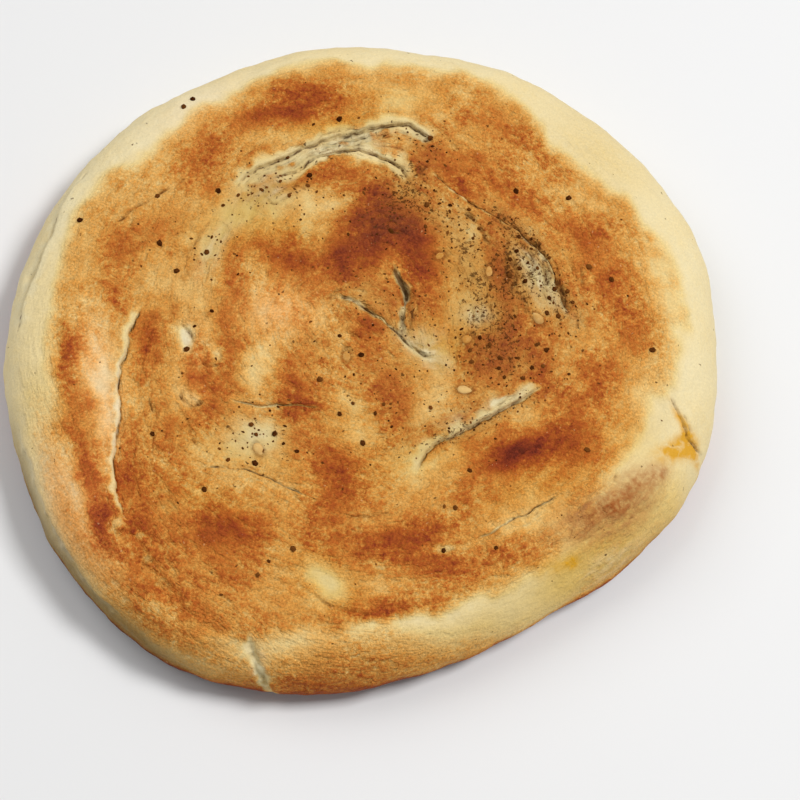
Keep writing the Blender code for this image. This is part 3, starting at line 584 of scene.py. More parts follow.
def inside(places, margin):
    """The places that are at least a margin inside the edge of the foot."""
    return places[np.hypot(*places.T) < unrolled_rim(angle_of(places)) - margin]


def rows_of_lines():
    """Every fold's and crease's path, with the rows of points that go beside it."""
    lines = [(fold.path, FOLD_ROWS) for fold in FOLDS.values()]
    return lines + [(path, CREASE_ROWS) for path, depth, width in all_creases()]


def crease_rows():
    """Rows of places along every fold and crease, so that the mesh follows their lips and cuts."""
    rows = []
    for path, offsets in rows_of_lines():
        line = fold_line(path, ROW_GAP)
        left = left_of(line)
        for offset in offsets:
            rows.append(line + left * offset)
            rows.append(line - left * offset)
    return thin_out(inside(np.vstack(rows), SIDE_GAP), min(ROW_GAP, FOLD_ROWS[1]) * 0.85)


def clear_of_rows(grid):
    """The grid's places that no row of a fold or crease covers."""
    covered = np.zeros(len(grid), dtype=bool)
    for path, offsets in rows_of_lines():
        reach = offsets[-1] + ROW_GAP
        which, distance, along, length, left = beside(path, grid, reach)
        covered[which[np.abs(distance) < reach]] = True
    return grid[~covered]


def crust_grid():
    """A fine grid of places over the top, and a wider one over the side."""
    reach = max(OUTLINE_RADII) * 1.3
    fine = hexagon_grid(reach, TOP_GAP)
    wide = inside(hexagon_grid(reach, SIDE_GAP), SIDE_GAP)
    top = fine[np.hypot(*fine.T) < round_curve(OUTLINE_RADII, angle_of(fine)) - SHOULDER_RUN]
    side = wide[np.hypot(*wide.T) > round_curve(OUTLINE_RADII, angle_of(wide)) - SHOULDER_RUN + TOP_GAP / 2]
    return clear_of_rows(np.vstack([top, side]))


def triangulate(places, rim_count):
    """Triangles over the places, inside the ring of their first rim_count places."""
    ring = [list(range(rim_count))]
    result = delaunay_2d_cdt([Vector(place) for place in places], [], ring, 1, 1e-6)
    came_from = [sources[0] for sources in result[3]]
    return [[came_from[corner] for corner in face] for face in result[2]]


def foot_height(places):
    """The underside's shallow dents, which leave most of it flat on the table."""
    dents = np.clip(rough(places, 13, 5) + 0.5 * rough(places, 5, 5) - 0.25, 0, 1)
    edge = smooth_step((round_curve(OUTLINE_RADII, angle_of(places)) - FOOT_RUN - np.hypot(*places.T)) / 6)
    return 0.8 * dents * edge


def reach_of_browning(places, radii, edge):
    """1 inside a round curve of radii, 0 outside it, with an uneven soft edge."""
    uneven = 2.2 * rough(places, 9, 2) + 1.2 * rough(places, 3.5, 2)
    return smooth_step((round_curve(radii, angle_of(places)) + uneven - np.hypot(*places.T)) / edge + 0.5)


def browning_of(places):
    """How deeply the crust is browned, from 0 for pale dough to 1 for scorched."""
    spread = 1.2 * np.stack([rough(places, 7, 3), rough(places, 7, 4)], axis=1)
    moved = places + spread
    blotches = sum(gain * ellipse(moved, *shape) for *shape, gain in BLOTCHES)
    blotches += 0.10 * rough(places, 6, 5) + 0.05 * rough(places, 2.8, 5) + 0.05 * wrinkles(places)
    top = reach_of_browning(places, BROWN_RADII, BROWN_EDGE)
    angle = angle_of(places)
    past_waist = np.hypot(*places.T) - (unrolled_rim(angle) - FOOT_ARC)
    near_side = smooth_step((0.5 - np.sin(angle + 0.35)) / 0.7)
    foot_edge = 0.75 * smooth_step(past_waist / 7 + 0.35) * near_side
    rim = 0.03 + 0.03 * rough(places, 12, 6)
    rim += sum(gain * ellipse(moved, *shape) for *shape, gain in RIM_BLOTCHES)
    return np.clip(rim + top * (GOLDEN + blotches) + (1 - top) * foot_edge, 0, 1)


def pale_dough_of(places):
    """How far unbrowned dough shows, along the folds' lips and in their cuts."""
    pale = np.zeros(len(places))
    for fold in FOLDS.values():
        if fold.pale_high + fold.pale_low == 0:
            continue
        which, distance, along, length, left = beside(fold.path, places, 8)
        ends = smooth_step(along / 4) * smooth_step((length - along) / 4)
        on_lip = distance * fold.side > 0
        wide = np.where(on_lip, fold.pale_high, fold.pale_low)
        frayed = 0.8 + 0.8 * rough(places[which], 2.2, 8) + 0.9 * rough(places[which], 6, 8)
        reach = wide * np.clip(frayed, 0.05, 2) + 0.01
        pale[which] = np.maximum(pale[which], ends * smooth_step(1.5 - np.abs(distance) / reach))
    return pale


def hollow_shade_of(places):
    """Painted shade deep in the cuts and creases, and a painted contact shadow round each seed."""
    dark = np.zeros(len(places))
    for fold in FOLDS.values():
        which, distance, along, length, left = beside(fold.path, places, 4)
        ends = fold_ends(along, length, 3) * ragged(places[which], 2.4)
        dark[which] = np.maximum(dark[which], fold.dark * ends * np.exp(-(distance / fold.width) ** 2))
    for path, depth, width in all_creases():
        which, distance, along, length, left = beside(path, places, 3)
        ends = fold_ends(along, length, CREASE_FADE) * ragged(places[which], 2)
        dark[which] = np.maximum(dark[which], 1.2 * depth * ends * np.exp(-(distance / (0.9 * width)) ** 2))
    # A painted contact shadow round each seed.
    for x, y, turn in SEEDS:
        round_seed = ellipse(places, x, y, SEED_LENGTH / 2, SEED_WIDTH / 2, turn)
        dark = np.maximum(dark, SEED_CONTACT_SHADE * smooth_step(round_seed / 0.3))
    return np.clip(dark, 0, 1)


# Where thin dough is greyer, where the crust is dusty with pepper, where it is wrinkled, where filling shows
# through, where that is redder, and where oil stains the dough: place, half length, half width, turn in
# degrees, and strength.
GREY_STRETCHES = (
    (-13, 43.5, 13, 1.6, 24, 0.8), (-4, 48.2, 7, 1.6, 14, 1), (2, 46, 6, 1.5, -15, 0.5),
    (11.5, 49, 3, 1.5, -20, 0.8), (-23, -78, 1.6, 7, 0, 0.9), (37, 15, 8, 3.5, -65, 0.8),
    (24, 3.5, 3, 2.5, 0, 0.7), (26, -17, 13, 1.4, 28, 0.8), (55, -52, 9, 4, 30, 0.45),
    (7.8, 5, 1.6, 7, 0, 0.7), (12, -5.5, 7, 2.4, -35, 0.8), (13, -0.5, 3.5, 3, 0, 0.35),
    (-4, 4, 4, 1.2, -25, 0.5), (-35, 19, 8, 2.5, 60, 0.45), (-23, 34, 7, 4, 30, 0.5),
    (-39.5, -3, 1, 3, 0, 0.4), (32, 24, 3, 1.5, -40, 0.6), (43, 6, 3, 3, 0, 0.4), (-25, -26, 5, 4, 0, 0.3),
)
DUSTED_STRETCHES = (
    (37, 15, 9, 5, -60, 1), (28, -5, 11, 8, 0, 0.9), (28, 14, 5, 10, 0, 0.7), (18, 27, 9, 5, -25, 0.8),
    (7, 34, 6, 6, 0, 0.8), (-23, 34, 9, 6, 35, 0.65), (-36, 18, 12, 4, 65, 0.25), (-25, -26, 9, 6, 0, 0.5),
    (17, -22, 10, 4, 30, 0.6), (26, -20.5, 14, 1.3, 28, 0.8), (23, 6, 6, 6, 0, 0.7),
    (1, 8, 9, 4, -30, 0.55), (5, 0, 8, 2.5, -32, 0.5), (10, 5, 3, 6, 0, 0.4), (44, 6, 5, 5, 0, 0.7),
    (5, -15, 9, 9, 0, 0.3), (0, 49, 14, 3, 10, 0.35), (20, 16, 4, 6, 0, 0.6), (-5, 24, 10, 10, 0, 0.25),
    (13, 47, 5, 4, 0, 0.5), (10, 40, 5, 4, 0, 0.6), (4, 26, 8, 6, 0, 0.4), (33, 25, 8, 2.5, -40, 0.7),
    (30.5, 29, 5, 1.6, -42, 0.9), (36.5, 24, 4, 1.5, -55, 0.9), (32, 17, 2, 4.5, 0, 0.6),
    (33, 9, 4, 2, -30, 0.6), (30, 3, 3, 3, 0, 0.5), (22, 20, 2, 2.5, 0, 0.5), (23, 13, 2.5, 1.5, 0, 0.5),
    (-45, 22, 10, 8, 0, 0.12), (0, 0, 60, 60, 0, 0.035),
)
WRINKLED_STRETCHES = (
    (0, 10, 44, 42, 0, 0.5), (-5, 45, 22, 6, 10, 0.6), (33, 15, 12, 12, 0, 0.5), (-38, -12, 10, 22, 0, 0.6),
    (25, -15, 14, 8, 30, 0.5), (-45, -40, 12, 20, 30, 0.3), (52, -38, 12, 6, 38, 0.6),
    (-48, 22, 14, 12, 0, 0.3), (0, -48, 30, 8, 0, 0.25), (-55, -55, 14, 8, -45, 0.4),
)
FILLING_STRETCHES = (
    (63, -31, 4, 2.5, 40, 0.8), (58, -34, 5, 3.5, 35, 0.8), (54, -38, 6, 4, 40, 0.9),
    (49, -40.5, 5, 3.5, 25, 0.85), (44, -43, 4.5, 3, 15, 0.7), (47, -46, 6, 3, 30, 0.6),
    (54, -43.5, 6, 3, 38, 0.6), (39, -47, 6, 3, 25, 0.4), (60, -39, 5, 2.5, 45, 0.4),
)
RED_STRETCHES = (
    (57, -35.5, 5, 1.6, 42, 0.75), (51, -40, 4.5, 1.8, 32, 0.9), (46.5, -44, 3, 1.3, 60, 0.7),
    (62.5, -31.5, 2.5, 1.2, 20, 0.6), (54.5, -40.5, 3, 1.2, 10, 0.5), (43, -43.5, 2, 1, 80, 0.4),
)
OIL_STRETCHES = (
    (66.5, -26, 4.5, 2, 20, 1.2), (70.5, -24, 2.6, 2.6, 0, 1.3), (73.5, -26, 3.5, 1.4, -50, 1),
    (70, -21, 3, 1, -60, 0.8), (43.5, -52, 1.8, 1.1, 0, 1), (40, -53, 5, 2, 20, 0.5),
    (72, -40, 6, 6, 0, 0.2), (68.5, -18.5, 5, 0.8, -60, 0.7),
)

# Where the dough is yellower, where it is a paler peach, and where painted shade darkens its side and rim.
YELLOW_STRETCHES = (
    (-28, 29, 14, 6, 40, 1), (-8, 51, 12, 2.5, 15, 0.8), (-9, -58, 8, 5, -40, 0.8), (-3, -22, 8, 6, 0, 0.3),
    (10, -30, 12, 6, 20, 0.6), (30, -62, 20, 6, 22, 0.5), (48, -53, 12, 7, 38, 0.9),
    (55, -42, 14, 6, 40, 0.6), (68, -45, 7, 14, -28, 0.45), (15, -4, 6, 6, -30, 0.9),
    (22, 10, 6, 14, 0, 0.5), (37, 14, 6, 8, 20, 0.4), (58, -24, 8, 6, -30, 0.4), (5, 59, 14, 4, 0, 0.4),
    (-28, -30, 12, 4, -20, 0.5), (-35, -40, 12, 4, -20, 0.4), (-18, 24, 8, 4, 0, 0.5),
    (35, -36, 16, 5, 22, 0.5), (-55, -66, 12, 4, -40, 0.4),
)
PEACH_STRETCHES = (
    (-60, -9, 4, 10, 5, 1), (-66, -38, 4, 12, 20, 0.9), (-57, -53, 4, 10, 40, 0.7),
    (-56, -24, 3, 12, 5, 0.9), (-20, 4, 8, 6, 0, 0.9), (-60, -40, 5, 10, 20, 0.6), (-38, -7, 3, 6, 0, 0.5),
    (-38, -17, 3, 3, 0, 0.3), (-40, 55, 14, 6, 40, 0.3),
)
# Painted shade on the side and at the rim's edge.
PAINTED_SHADE_STRETCHES = (
    (-73, -53.5, 30, 8, -53, 1.4), (-60, -72, 16, 6, -42, 0.7), (-50, -72, 16, 4, -35, 0.9),
    (-79, -30, 3, 12, 15, 0.5), (67, -51, 8, 4, 52, 0.6), (52, 48, 10, 18, 42, 0.1),
    (63, -20, 3, 5, -40, 0.12),
)


def stretches_of(places, stretches):
    """The sum of soft ellipses at each place, no more than 1."""
    return np.clip(sum(gain * ellipse(places, *shape) for *shape, gain in stretches), 0, 1)


def add_attribute(mesh, name, values):
    """Keep one number for each point of a mesh, for its material."""
    layer = mesh.attributes.new(name, "FLOAT", "POINT")
    layer.data.foreach_set("value", np.asarray(values, dtype=np.float32))


# Where the unrolled crust and the foot go in the square that their colours are baked on: middle, half width.
CRUST_ISLAND = (0.39, 0.39, 0.38)
FOOT_ISLAND = (0.81, 0.81, 0.175)


def add_baking_map(mesh, places, points):
    """Give each face its place on a square, the crust unrolled and the foot as it lies."""
    corners = np.zeros(len(mesh.loops), dtype=np.int32)
    mesh.loops.foreach_get("vertex_index", corners)
    faces = corners.reshape(-1, 3)
    on_crust = (faces < len(places)).all(axis=1) & ~(faces < RIM_POINTS).all(axis=1)
    on_foot = np.repeat(~on_crust, 3)
    unrolled = np.vstack([places, points[len(places):]])
    spot = np.zeros((len(corners), 2))
    for which, flat, (x, y, half) in ((~on_foot, unrolled, CRUST_ISLAND), (on_foot, points, FOOT_ISLAND)):
        chosen = flat[corners[which]]
        spot[which] = (x, y) + chosen * (half / np.abs(chosen).max())
    layer = mesh.uv_layers.new(name="OFBake")
    layer.data.foreach_set("uv", spot.ravel().astype(np.float32))


def crust_mesh():
    """The bread as one closed mesh, with the numbers that colour it."""
    angles = np.arange(RIM_POINTS) / RIM_POINTS * 2 * math.pi
    ring = np.stack([np.cos(angles), np.sin(angles)], axis=1) * unrolled_rim(angles)[:, None]
    places = np.vstack([ring, crease_rows(), crust_grid()])
    crust = crust_surface(places)

    foot_ring = crust[:RIM_POINTS, :2]
    foot_grid = hexagon_grid(max(OUTLINE_RADII), FOOT_GAP)
    foot_reach = round_curve(OUTLINE_RADII, angle_of(foot_grid)) - FOOT_RUN - FOOT_GAP / 2
    foot_grid = foot_grid[np.hypot(*foot_grid.T) < foot_reach]
    shift = len(crust) - RIM_POINTS
    foot_faces = triangulate(np.vstack([foot_ring, foot_grid]), RIM_POINTS)
    foot_faces = [[corner + shift * (corner >= RIM_POINTS) for corner in face] for face in foot_faces]
    points = np.vstack([crust, np.column_stack([foot_grid, foot_height(foot_grid)])])

    mesh = bpy.data.meshes.new("crust")
    mesh.from_pydata((points * MM).tolist(), [], triangulate(places, RIM_POINTS) + foot_faces)
    bm = bmesh.new()
    bm.from_mesh(mesh)
    bmesh.ops.recalc_face_normals(bm, faces=bm.faces)
    bm.to_mesh(mesh)
    bm.free()
    mesh.shade_smooth()

    below = np.zeros(len(foot_grid))
    griddled = 0.42 + 0.3 * rough(foot_grid, 16, 9) + 0.15 * rough(foot_grid, 6, 9)
    griddled -= 0.35 * foot_height(foot_grid)
    pale = pale_dough_of(places)
    browning = browning_of(places) * (1 - 0.75 * pale)
    add_attribute(mesh, "browning", np.concatenate([browning, np.clip(griddled, 0.05, 0.9)]))
    for name, values in (
        # Painted shade in the cuts and creases, and a painted contact shadow round each seed.
        ("dark", hollow_shade_of(places)),
        ("grey", stretches_of(places, GREY_STRETCHES)),
        ("dust", stretches_of(places, DUSTED_STRETCHES)),
        ("wrinkled", stretches_of(places, WRINKLED_STRETCHES)),
        ("filling", stretches_of(places, FILLING_STRETCHES)),
        ("oil", stretches_of(places, OIL_STRETCHES)),
        ("red", stretches_of(places, RED_STRETCHES)),
        ("yellow", stretches_of(places, YELLOW_STRETCHES)),
        ("peach", stretches_of(places, PEACH_STRETCHES)),
        # These numbers are painted shade, on the side and at the rim's edge.
        ("dull", stretches_of(places, PAINTED_SHADE_STRETCHES)),
    ):
        add_attribute(mesh, name, np.concatenate([values, below]))
    flow = np.zeros((len(points), 3))
    flow[:len(places), :2] = flow_at(places)
    layer = mesh.attributes.new("flow", "FLOAT_VECTOR", "POINT")
    layer.data.foreach_set("vector", flow.ravel().astype(np.float32))
    add_baking_map(mesh, places, points[:, :2])
    return mesh


def new_node(tree, kind, inputs=None, output=0, **settings):
    """Add a shader node, set or link its inputs, and give one of its outputs."""
    made = tree.nodes.new(kind)
    for name, value in settings.items():
        setattr(made, name, value)
    for name, value in (inputs or {}).items():
        if isinstance(value, bpy.types.NodeSocket):
            tree.links.new(value, made.inputs[name])
        else:
            made.inputs[name].default_value = value
    return made.outputs[output]


def maths(tree, operation, first, second=0.0, clamp=False):
    """A Math node."""
    return new_node(tree, "ShaderNodeMath", {0: first, 1: second}, operation=operation, use_clamp=clamp)


def times(tree, first, second):
    """The product of two values."""
    return maths(tree, "MULTIPLY", first, second)


def weighted(tree, *parts):
    """The sum of values, each times its weight."""
    total = 0.0
    for value, weight in parts:
        total = maths(tree, "ADD", total, times(tree, value, weight))
    return total


def shifted(tree, value, amount):
    """A value from 0 to 1, made to go from minus to plus half an amount."""
    return times(tree, maths(tree, "SUBTRACT", value, 0.5), amount)


def blend(tree, share, first, second, kind="MIX"):
    """A colour mix from first to second."""
    inputs = {0: share, 6: first, 7: second}
    return new_node(tree, "ShaderNodeMix", inputs, 2, data_type="RGBA", blend_type=kind)


def stretch(tree, value, low, high, to_low=0.0, to_high=1.0):
    """Map a value's range to another, kept within it."""
    inputs = {"Value": value, "From Min": low, "From Max": high, "To Min": to_low, "To Max": to_high}
    return new_node(tree, "ShaderNodeMapRange", inputs, clamp=True)


def attribute(tree, name, output=2):
    """A number that the mesh keeps for each point, or with output 1 a vector."""
    return new_node(tree, "ShaderNodeAttribute", output=output, attribute_name=name)


def grain(tree, where, size, detail=3.0, roughness=0.55, warp=0.0):
    """Noise whose features are about a size in millimetres."""
    inputs = {"Vector": where, "Scale": 1 / size, "Detail": detail, "Roughness": roughness}
    return new_node(tree, "ShaderNodeTexNoise", {**inputs, "Distortion": warp})


def in_millimetres(tree):
    """The object's own coordinates, in millimetres."""
    place = new_node(tree, "ShaderNodeTexCoord", output=3)
    return new_node(tree, "ShaderNodeVectorMath", {0: place, "Scale": 1000.0}, operation="SCALE")


def colour_ramp(tree, value, stops):
    """A colour for each value, through stops of (value, colour)."""
    ramp = tree.nodes.new("ShaderNodeValToRGB")
    tree.links.new(value, ramp.inputs[0])
    elements = ramp.color_ramp.elements
    while len(elements) < len(stops):
        elements.new(0.5)
    for element, (position, colour) in zip(elements, stops):
        element.position = position
        element.color = (*colour, 1)
    return ramp.outputs[0]


def new_material(name, roughness):
    """A material with its tree and its Principled shader."""
    material = bpy.data.materials.new(name)
    material.use_nodes = True
    shader = material.node_tree.nodes["Principled BSDF"]
    shader.inputs["Roughness"].default_value = roughness
    return material, material.node_tree, shader


def along_flow(tree, where, size, run, spread=0.10):
    """Noise drawn out along the flow of the dough, from 0 to 1: the mean of samples set off along it."""
    flow = attribute(tree, "flow", 1)
    steps = (-1.0, -0.5, 0.0, 0.5, 1.0)
    total = 0.0
    for step in steps:
        offset = new_node(tree, "ShaderNodeVectorMath", {0: flow, "Scale": step * run}, operation="SCALE")
        moved = new_node(tree, "ShaderNodeVectorMath", {0: where, 1: offset}, operation="ADD")
        total = maths(tree, "ADD", total, grain(tree, moved, size, 1.5, 0.6))
    return stretch(tree, total, len(steps) * (0.5 - spread), len(steps) * (0.5 + spread))


def hairlines(tree, where, size, run, width):
    """Thin broken lines along the flow of the dough: where drawn-out noise crosses its mean."""
    level = along_flow(tree, where, size, run)
    off = maths(tree, "ABSOLUTE", maths(tree, "SUBTRACT", level, 0.5))
    gaps = stretch(tree, grain(tree, where, size * 2.2, 2, 0.6), 0.45, 0.60)
    return times(tree, stretch(tree, off, width * 0.2, width, 1.0, 0.0), gaps)


def specks(tree, where, gap, share, radius):
    """Round specks a gap apart: a share of the places has one, up to a radius measured in gaps."""
    cells = new_node(tree, "ShaderNodeTexVoronoi", {"Vector": where, "Scale": 1 / gap})
    draw = new_node(tree, "ShaderNodeSeparateColor", {0: cells.node.outputs["Color"]})
    least = maths(tree, "SUBTRACT", 1.0, share)
    inputs = {"Value": draw, "From Min": least, "To Max": radius}
    size = new_node(tree, "ShaderNodeMapRange", inputs, clamp=True)
    rim = maths(tree, "SUBTRACT", size, cells)
    return stretch(tree, rim, 0.0, 0.1)


# The crust's colours, from unbrowned dough to scorched crust.
CRUST_STOPS = (
    (0.00, (0.825, 0.71, 0.435)),
    (0.12, (0.82, 0.62, 0.27)),
    (0.24, (0.81, 0.475, 0.145)),
    (0.36, (0.73, 0.335, 0.070)),
    (0.48, (0.60, 0.200, 0.034)),
    (0.60, (0.46, 0.112, 0.019)),
    (0.74, (0.33, 0.060, 0.016)),
    (0.88, (0.22, 0.035, 0.015)),
    (1.00, (0.13, 0.022, 0.012)),
)

# The colours that go over these where grey dough (some in painted shade), dust, filling, oil or pepper show,
# the painted shade in cuts, creases and round the seeds, the painted glints, the tints of the yellower, peach
# and painted shade stretches, and the crust's specular level.
GREY_SHADED = (0.44, 0.35, 0.16, 1)
GREY_DOUGH = (0.85, 0.75, 0.46, 1)
DUSTY = (0.22, 0.115, 0.040, 1)
YELLOW_TINT = (0.88, 0.76, 0.45, 1)
PEACH_TINT = (1.06, 1.05, 1.32, 1)
PAINTED_SHADE_TINT = (0.44, 0.40, 0.37, 1)
CREASE_SHADE_BROWN = (0.32, 0.11, 0.018, 1)
HOLLOW_SHADE_CRUST = (0.10, 0.032, 0.006, 1)
HOLLOW_SHADE_DOUGH = (0.070, 0.036, 0.010, 1)
PEPPER_DUST = (0.080, 0.028, 0.006, 1)
PAINTED_GLINT = (0.88, 0.52, 0.24, 1)
FILLING = (0.46, 0.21, 0.075, 1)
FILLING_RED = (0.34, 0.09, 0.018, 1)
OIL = (0.70, 0.35, 0.020, 1)
CRUST_SPECULAR = 0.03

# The crust's textures, each a node's output.
Grains = namedtuple("Grains", "clumps grit fine fibres strands creases grooves")


def crust_grains(tree, where):
    """The crust's textures, from 0 to 1: coarse to fine grain, streaks along the flow, and thin lines."""
    wrinkled = attribute(tree, "wrinkled")
    browned = stretch(tree, attribute(tree, "browning"), 0.1, 0.3, 0.0, 0.1)
    grooved = maths(tree, "ADD", wrinkled, browned, True)
    return Grains(
        clumps=stretch(tree, grain(tree, where, 2.4, 4, 0.62, 0.5), 0.3, 0.7),
        grit=stretch(tree, grain(tree, where, 1.1, 3, 0.65, 0.3), 0.3, 0.7),
        fine=stretch(tree, grain(tree, where, 0.5, 3, 0.7), 0.3, 0.7),
        fibres=along_flow(tree, where, 0.5, 0.6),
        strands=along_flow(tree, where, 1.5, 1.3),
        creases=times(tree, hairlines(tree, where, 1.4, 1.4, 0.10), wrinkled),
        grooves=times(tree, hairlines(tree, where, 2.8, 2.4, 0.12), grooved),
    )


def browned_colour(tree, where, grains):
    """Browning in blotches, streaks and freckles, yellower and paler stretches, painted shade on the side."""
    browning = attribute(tree, "browning")
    stains = stretch(tree, grain(tree, where, 1.7, 3, 0.7, 0.6), 0.56, 0.70)
    bare = stretch(tree, grain(tree, where, 1.3, 3, 0.7, 0.4), 0.60, 0.72)
    calm = stretch(tree, grain(tree, where, 11, 1, 0.5), 0.36, 0.62, 0.55, 1.25)
    strength = times(tree, stretch(tree, browning, 0.10, 0.42, 0.10, 1.0), calm)
    mottle = weighted(tree, (stains, 0.14), (bare, -0.13))
    for texture, amount in (
        (grains.clumps, 0.14), (grains.grit, 0.20), (grains.fibres, 0.10), (grains.strands, 0.08),
    ):
        mottle = maths(tree, "ADD", mottle, shifted(tree, texture, amount))
    shade = maths(tree, "ADD", browning, times(tree, mottle, strength), True)
    colour = colour_ramp(tree, shade, CRUST_STOPS)
    light = stretch(tree, grains.fine, 0.0, 1.0, 0.70, 1.28)
    colour = blend(tree, stretch(tree, browning, 0.05, 0.3, 0.25, 1.0), colour, light, "MULTIPLY")
    # The dull tint is painted shade on the side and at the rim's edge.
    for name, tint in (("yellow", YELLOW_TINT), ("peach", PEACH_TINT), ("dull", PAINTED_SHADE_TINT)):
        colour = blend(tree, attribute(tree, name), colour, tint, "MULTIPLY")
    return colour


def grey_share(tree, grains):
    """How far grey dough shows, which is only where the crust is little browned."""
    uneven = weighted(tree, (grains.strands, 0.6), (grains.fibres, 0.4))
    grey = maths(tree, "MULTIPLY", attribute(tree, "grey"), maths(tree, "ADD", uneven, 0.5), True)
    return times(tree, grey, stretch(tree, attribute(tree, "browning"), 0.22, 0.38, 1.0, 0.0))


def oil_share(tree, grains):
    """How far oil stains the dough."""
    patchy = times(tree, attribute(tree, "oil"), maths(tree, "ADD", grains.clumps, 0.4))
    return stretch(tree, patchy, 0.05, 0.9, 0, 0.95)


def stained_colour(tree, colour, grains, oil):
    """The crust's colour: grey dough, filling showing through, oil, painted shade in thin creases and cuts.
    """
    grey = grey_share(tree, grains)
    grey_tone = blend(tree, grains.strands, GREY_SHADED, GREY_DOUGH)
    colour = blend(tree, times(tree, grey, 0.85), colour, grey_tone)
    soft = maths(tree, "ADD", weighted(tree, (grains.grit, 0.5), (grains.strands, 0.4)), 0.25)
    for name, stain, whole in (("filling", FILLING, 1.1), ("red", FILLING_RED, 0.85)):
        stained = stretch(tree, times(tree, attribute(tree, name), soft), 0.04, whole, 0, 0.9)
        colour = blend(tree, stained, colour, stain)
    colour = blend(tree, oil, colour, OIL)
    # Painted shade, tinted brown, in the thin creases and grooves.
    colour = blend(tree, times(tree, grains.creases, 0.4), colour, CREASE_SHADE_BROWN)
    colour = blend(tree, times(tree, grains.grooves, 0.3), colour, CREASE_SHADE_BROWN)
    # Painted shade, near black, deep in the cuts and creases and round the seeds.
    dark = maths(tree, "MULTIPLY", attribute(tree, "dark"), maths(tree, "ADD", grains.fibres, 0.6), True)
    deep = blend(tree, grey, HOLLOW_SHADE_CRUST, HOLLOW_SHADE_DOUGH)
    return blend(tree, stretch(tree, dark, 0.12, 0.9, 0, 0.9), colour, deep)


def peppered_colour(tree, where, colour, grains):
    """The crust's colour, with ground pepper in flecks and ragged specks, and small painted highlights."""
    dust = attribute(tree, "dust")
    colour = blend(tree, times(tree, times(tree, dust, grains.fine), 0.5), colour, DUSTY)
    torn = new_node(tree, "ShaderNodeTexNoise", {"Vector": where, "Scale": 1.1, "Detail": 2.0}, 1)
    torn = new_node(tree, "ShaderNodeVectorMath", {0: torn, "Scale": 1.3}, operation="SCALE")
    torn = new_node(tree, "ShaderNodeVectorMath", {0: where, 1: torn}, operation="ADD")
    for gap, share, radius, force in ((0.85, times(tree, dust, 0.65), 0.44, 0.8), (1.7, 0.14, 0.2, 0.7)):
        flecks = times(tree, specks(tree, torn, gap, share, radius), force)
        colour = blend(tree, flecks, colour, PEPPER_DUST)
    least = stretch(tree, dust, 0.0, 1.0, 0.74, 0.53)
    ragged_specks = maths(tree, "SUBTRACT", grain(tree, torn, 1.0, 3, 0.7), least)
    colour = blend(tree, stretch(tree, ragged_specks, 0.0, 0.05, 0, 0.8), colour, PEPPER_DUST)
    browned = stretch(tree, attribute(tree, "browning"), 0.22, 0.45)
    # Small painted highlights on the browned crust.
    painted_glints = times(tree, specks(tree, torn, 1.0, 0.3, 0.25), browned)
    return blend(tree, times(tree, painted_glints, 0.4), colour, PAINTED_GLINT)


def crust_height(tree, grains):
    """The crust's finest relief, in millimetres, lower where the crust is pale or a taut peach."""
    rises = weighted(
        tree, (grains.clumps, 0.40), (grains.grit, 0.20), (grains.fine, 0.12), (grains.strands, 0.30),
        (grains.fibres, 0.14), (grains.creases, -0.08), (grains.grooves, -0.12))
    taut = stretch(tree, attribute(tree, "peach"), 0.0, 1.0, 1.0, 0.35)
    browned = stretch(tree, attribute(tree, "browning"), 0.05, 0.35, 0.25, 1.0)
    return times(tree, rises, times(tree, taut, browned))


def crust_material():
    """Baked crust: browned, stained, creased and peppered, and a little glossier where it is oily."""
    material, tree, shader = new_material("crust", 0.55)
    where = in_millimetres(tree)
    grains = crust_grains(tree, where)
    colour = browned_colour(tree, where, grains)
    oil = oil_share(tree, grains)
    colour = stained_colour(tree, colour, grains, oil)
    colour = peppered_colour(tree, where, colour, grains)
    tree.links.new(colour, shader.inputs["Base Color"])
    shader.inputs["Specular IOR Level"].default_value = CRUST_SPECULAR
    dull = stretch(tree, grains.fine, 0.2, 0.8, 0.45, 0.62)
    roughness = weighted(tree, (dull, 1.0), (oil, -0.25))
    tree.links.new(roughness, shader.inputs["Roughness"])
    height = crust_height(tree, grains)
    bump = new_node(tree, "ShaderNodeBump", {"Height": height, "Strength": 1.0, "Distance": MM})
    tree.links.new(bump, shader.inputs["Normal"])
    return material


def topping_material(name, plain, toasted, roughness):
    """A small topping's material: each grain has its own tone between two colours, a little uneven."""
    material, tree, shader = new_material(name, roughness)
    where = in_millimetres(tree)
    patch = stretch(tree, grain(tree, where, 0.7, 3, 0.7), 0.3, 0.7)
    tone = maths(tree, "ADD", attribute(tree, "tone"), shifted(tree, patch, 0.5), True)
    colour = blend(tree, tone, (*plain, 1), (*toasted, 1))
    tree.links.new(colour, shader.inputs["Base Color"])
    shader.inputs["Specular IOR Level"].default_value = 0.0
    bump = new_node(tree, "ShaderNodeBump", {"Height": patch, "Strength": 0.6, "Distance": 0.1 * MM})
    tree.links.new(bump, shader.inputs["Normal"])
    return material


def seats(places, spins):
    """For each place, a frame on the crust: origin on the surface, z axis out of it, turned by a spin."""
    step = 0.6
    places = np.array(places, dtype=float)
    corners = np.vstack([places, places + (step, 0), places + (0, step)])
    here, ahead, aside = np.split(crust_surface(corners), 3)
    frames = []
    for origin, one, other, spin in zip(here, ahead - here, aside - here, spins):
        out = Vector(one).cross(Vector(other)).normalized()
        lengthways = Vector(one).normalized()
        turn = Matrix((lengthways, out.cross(lengthways), out)).transposed().to_4x4()
        frames.append(Matrix.Translation(Vector(origin) * MM) @ turn @ Matrix.Rotation(spin, 4, "Z"))
    return frames


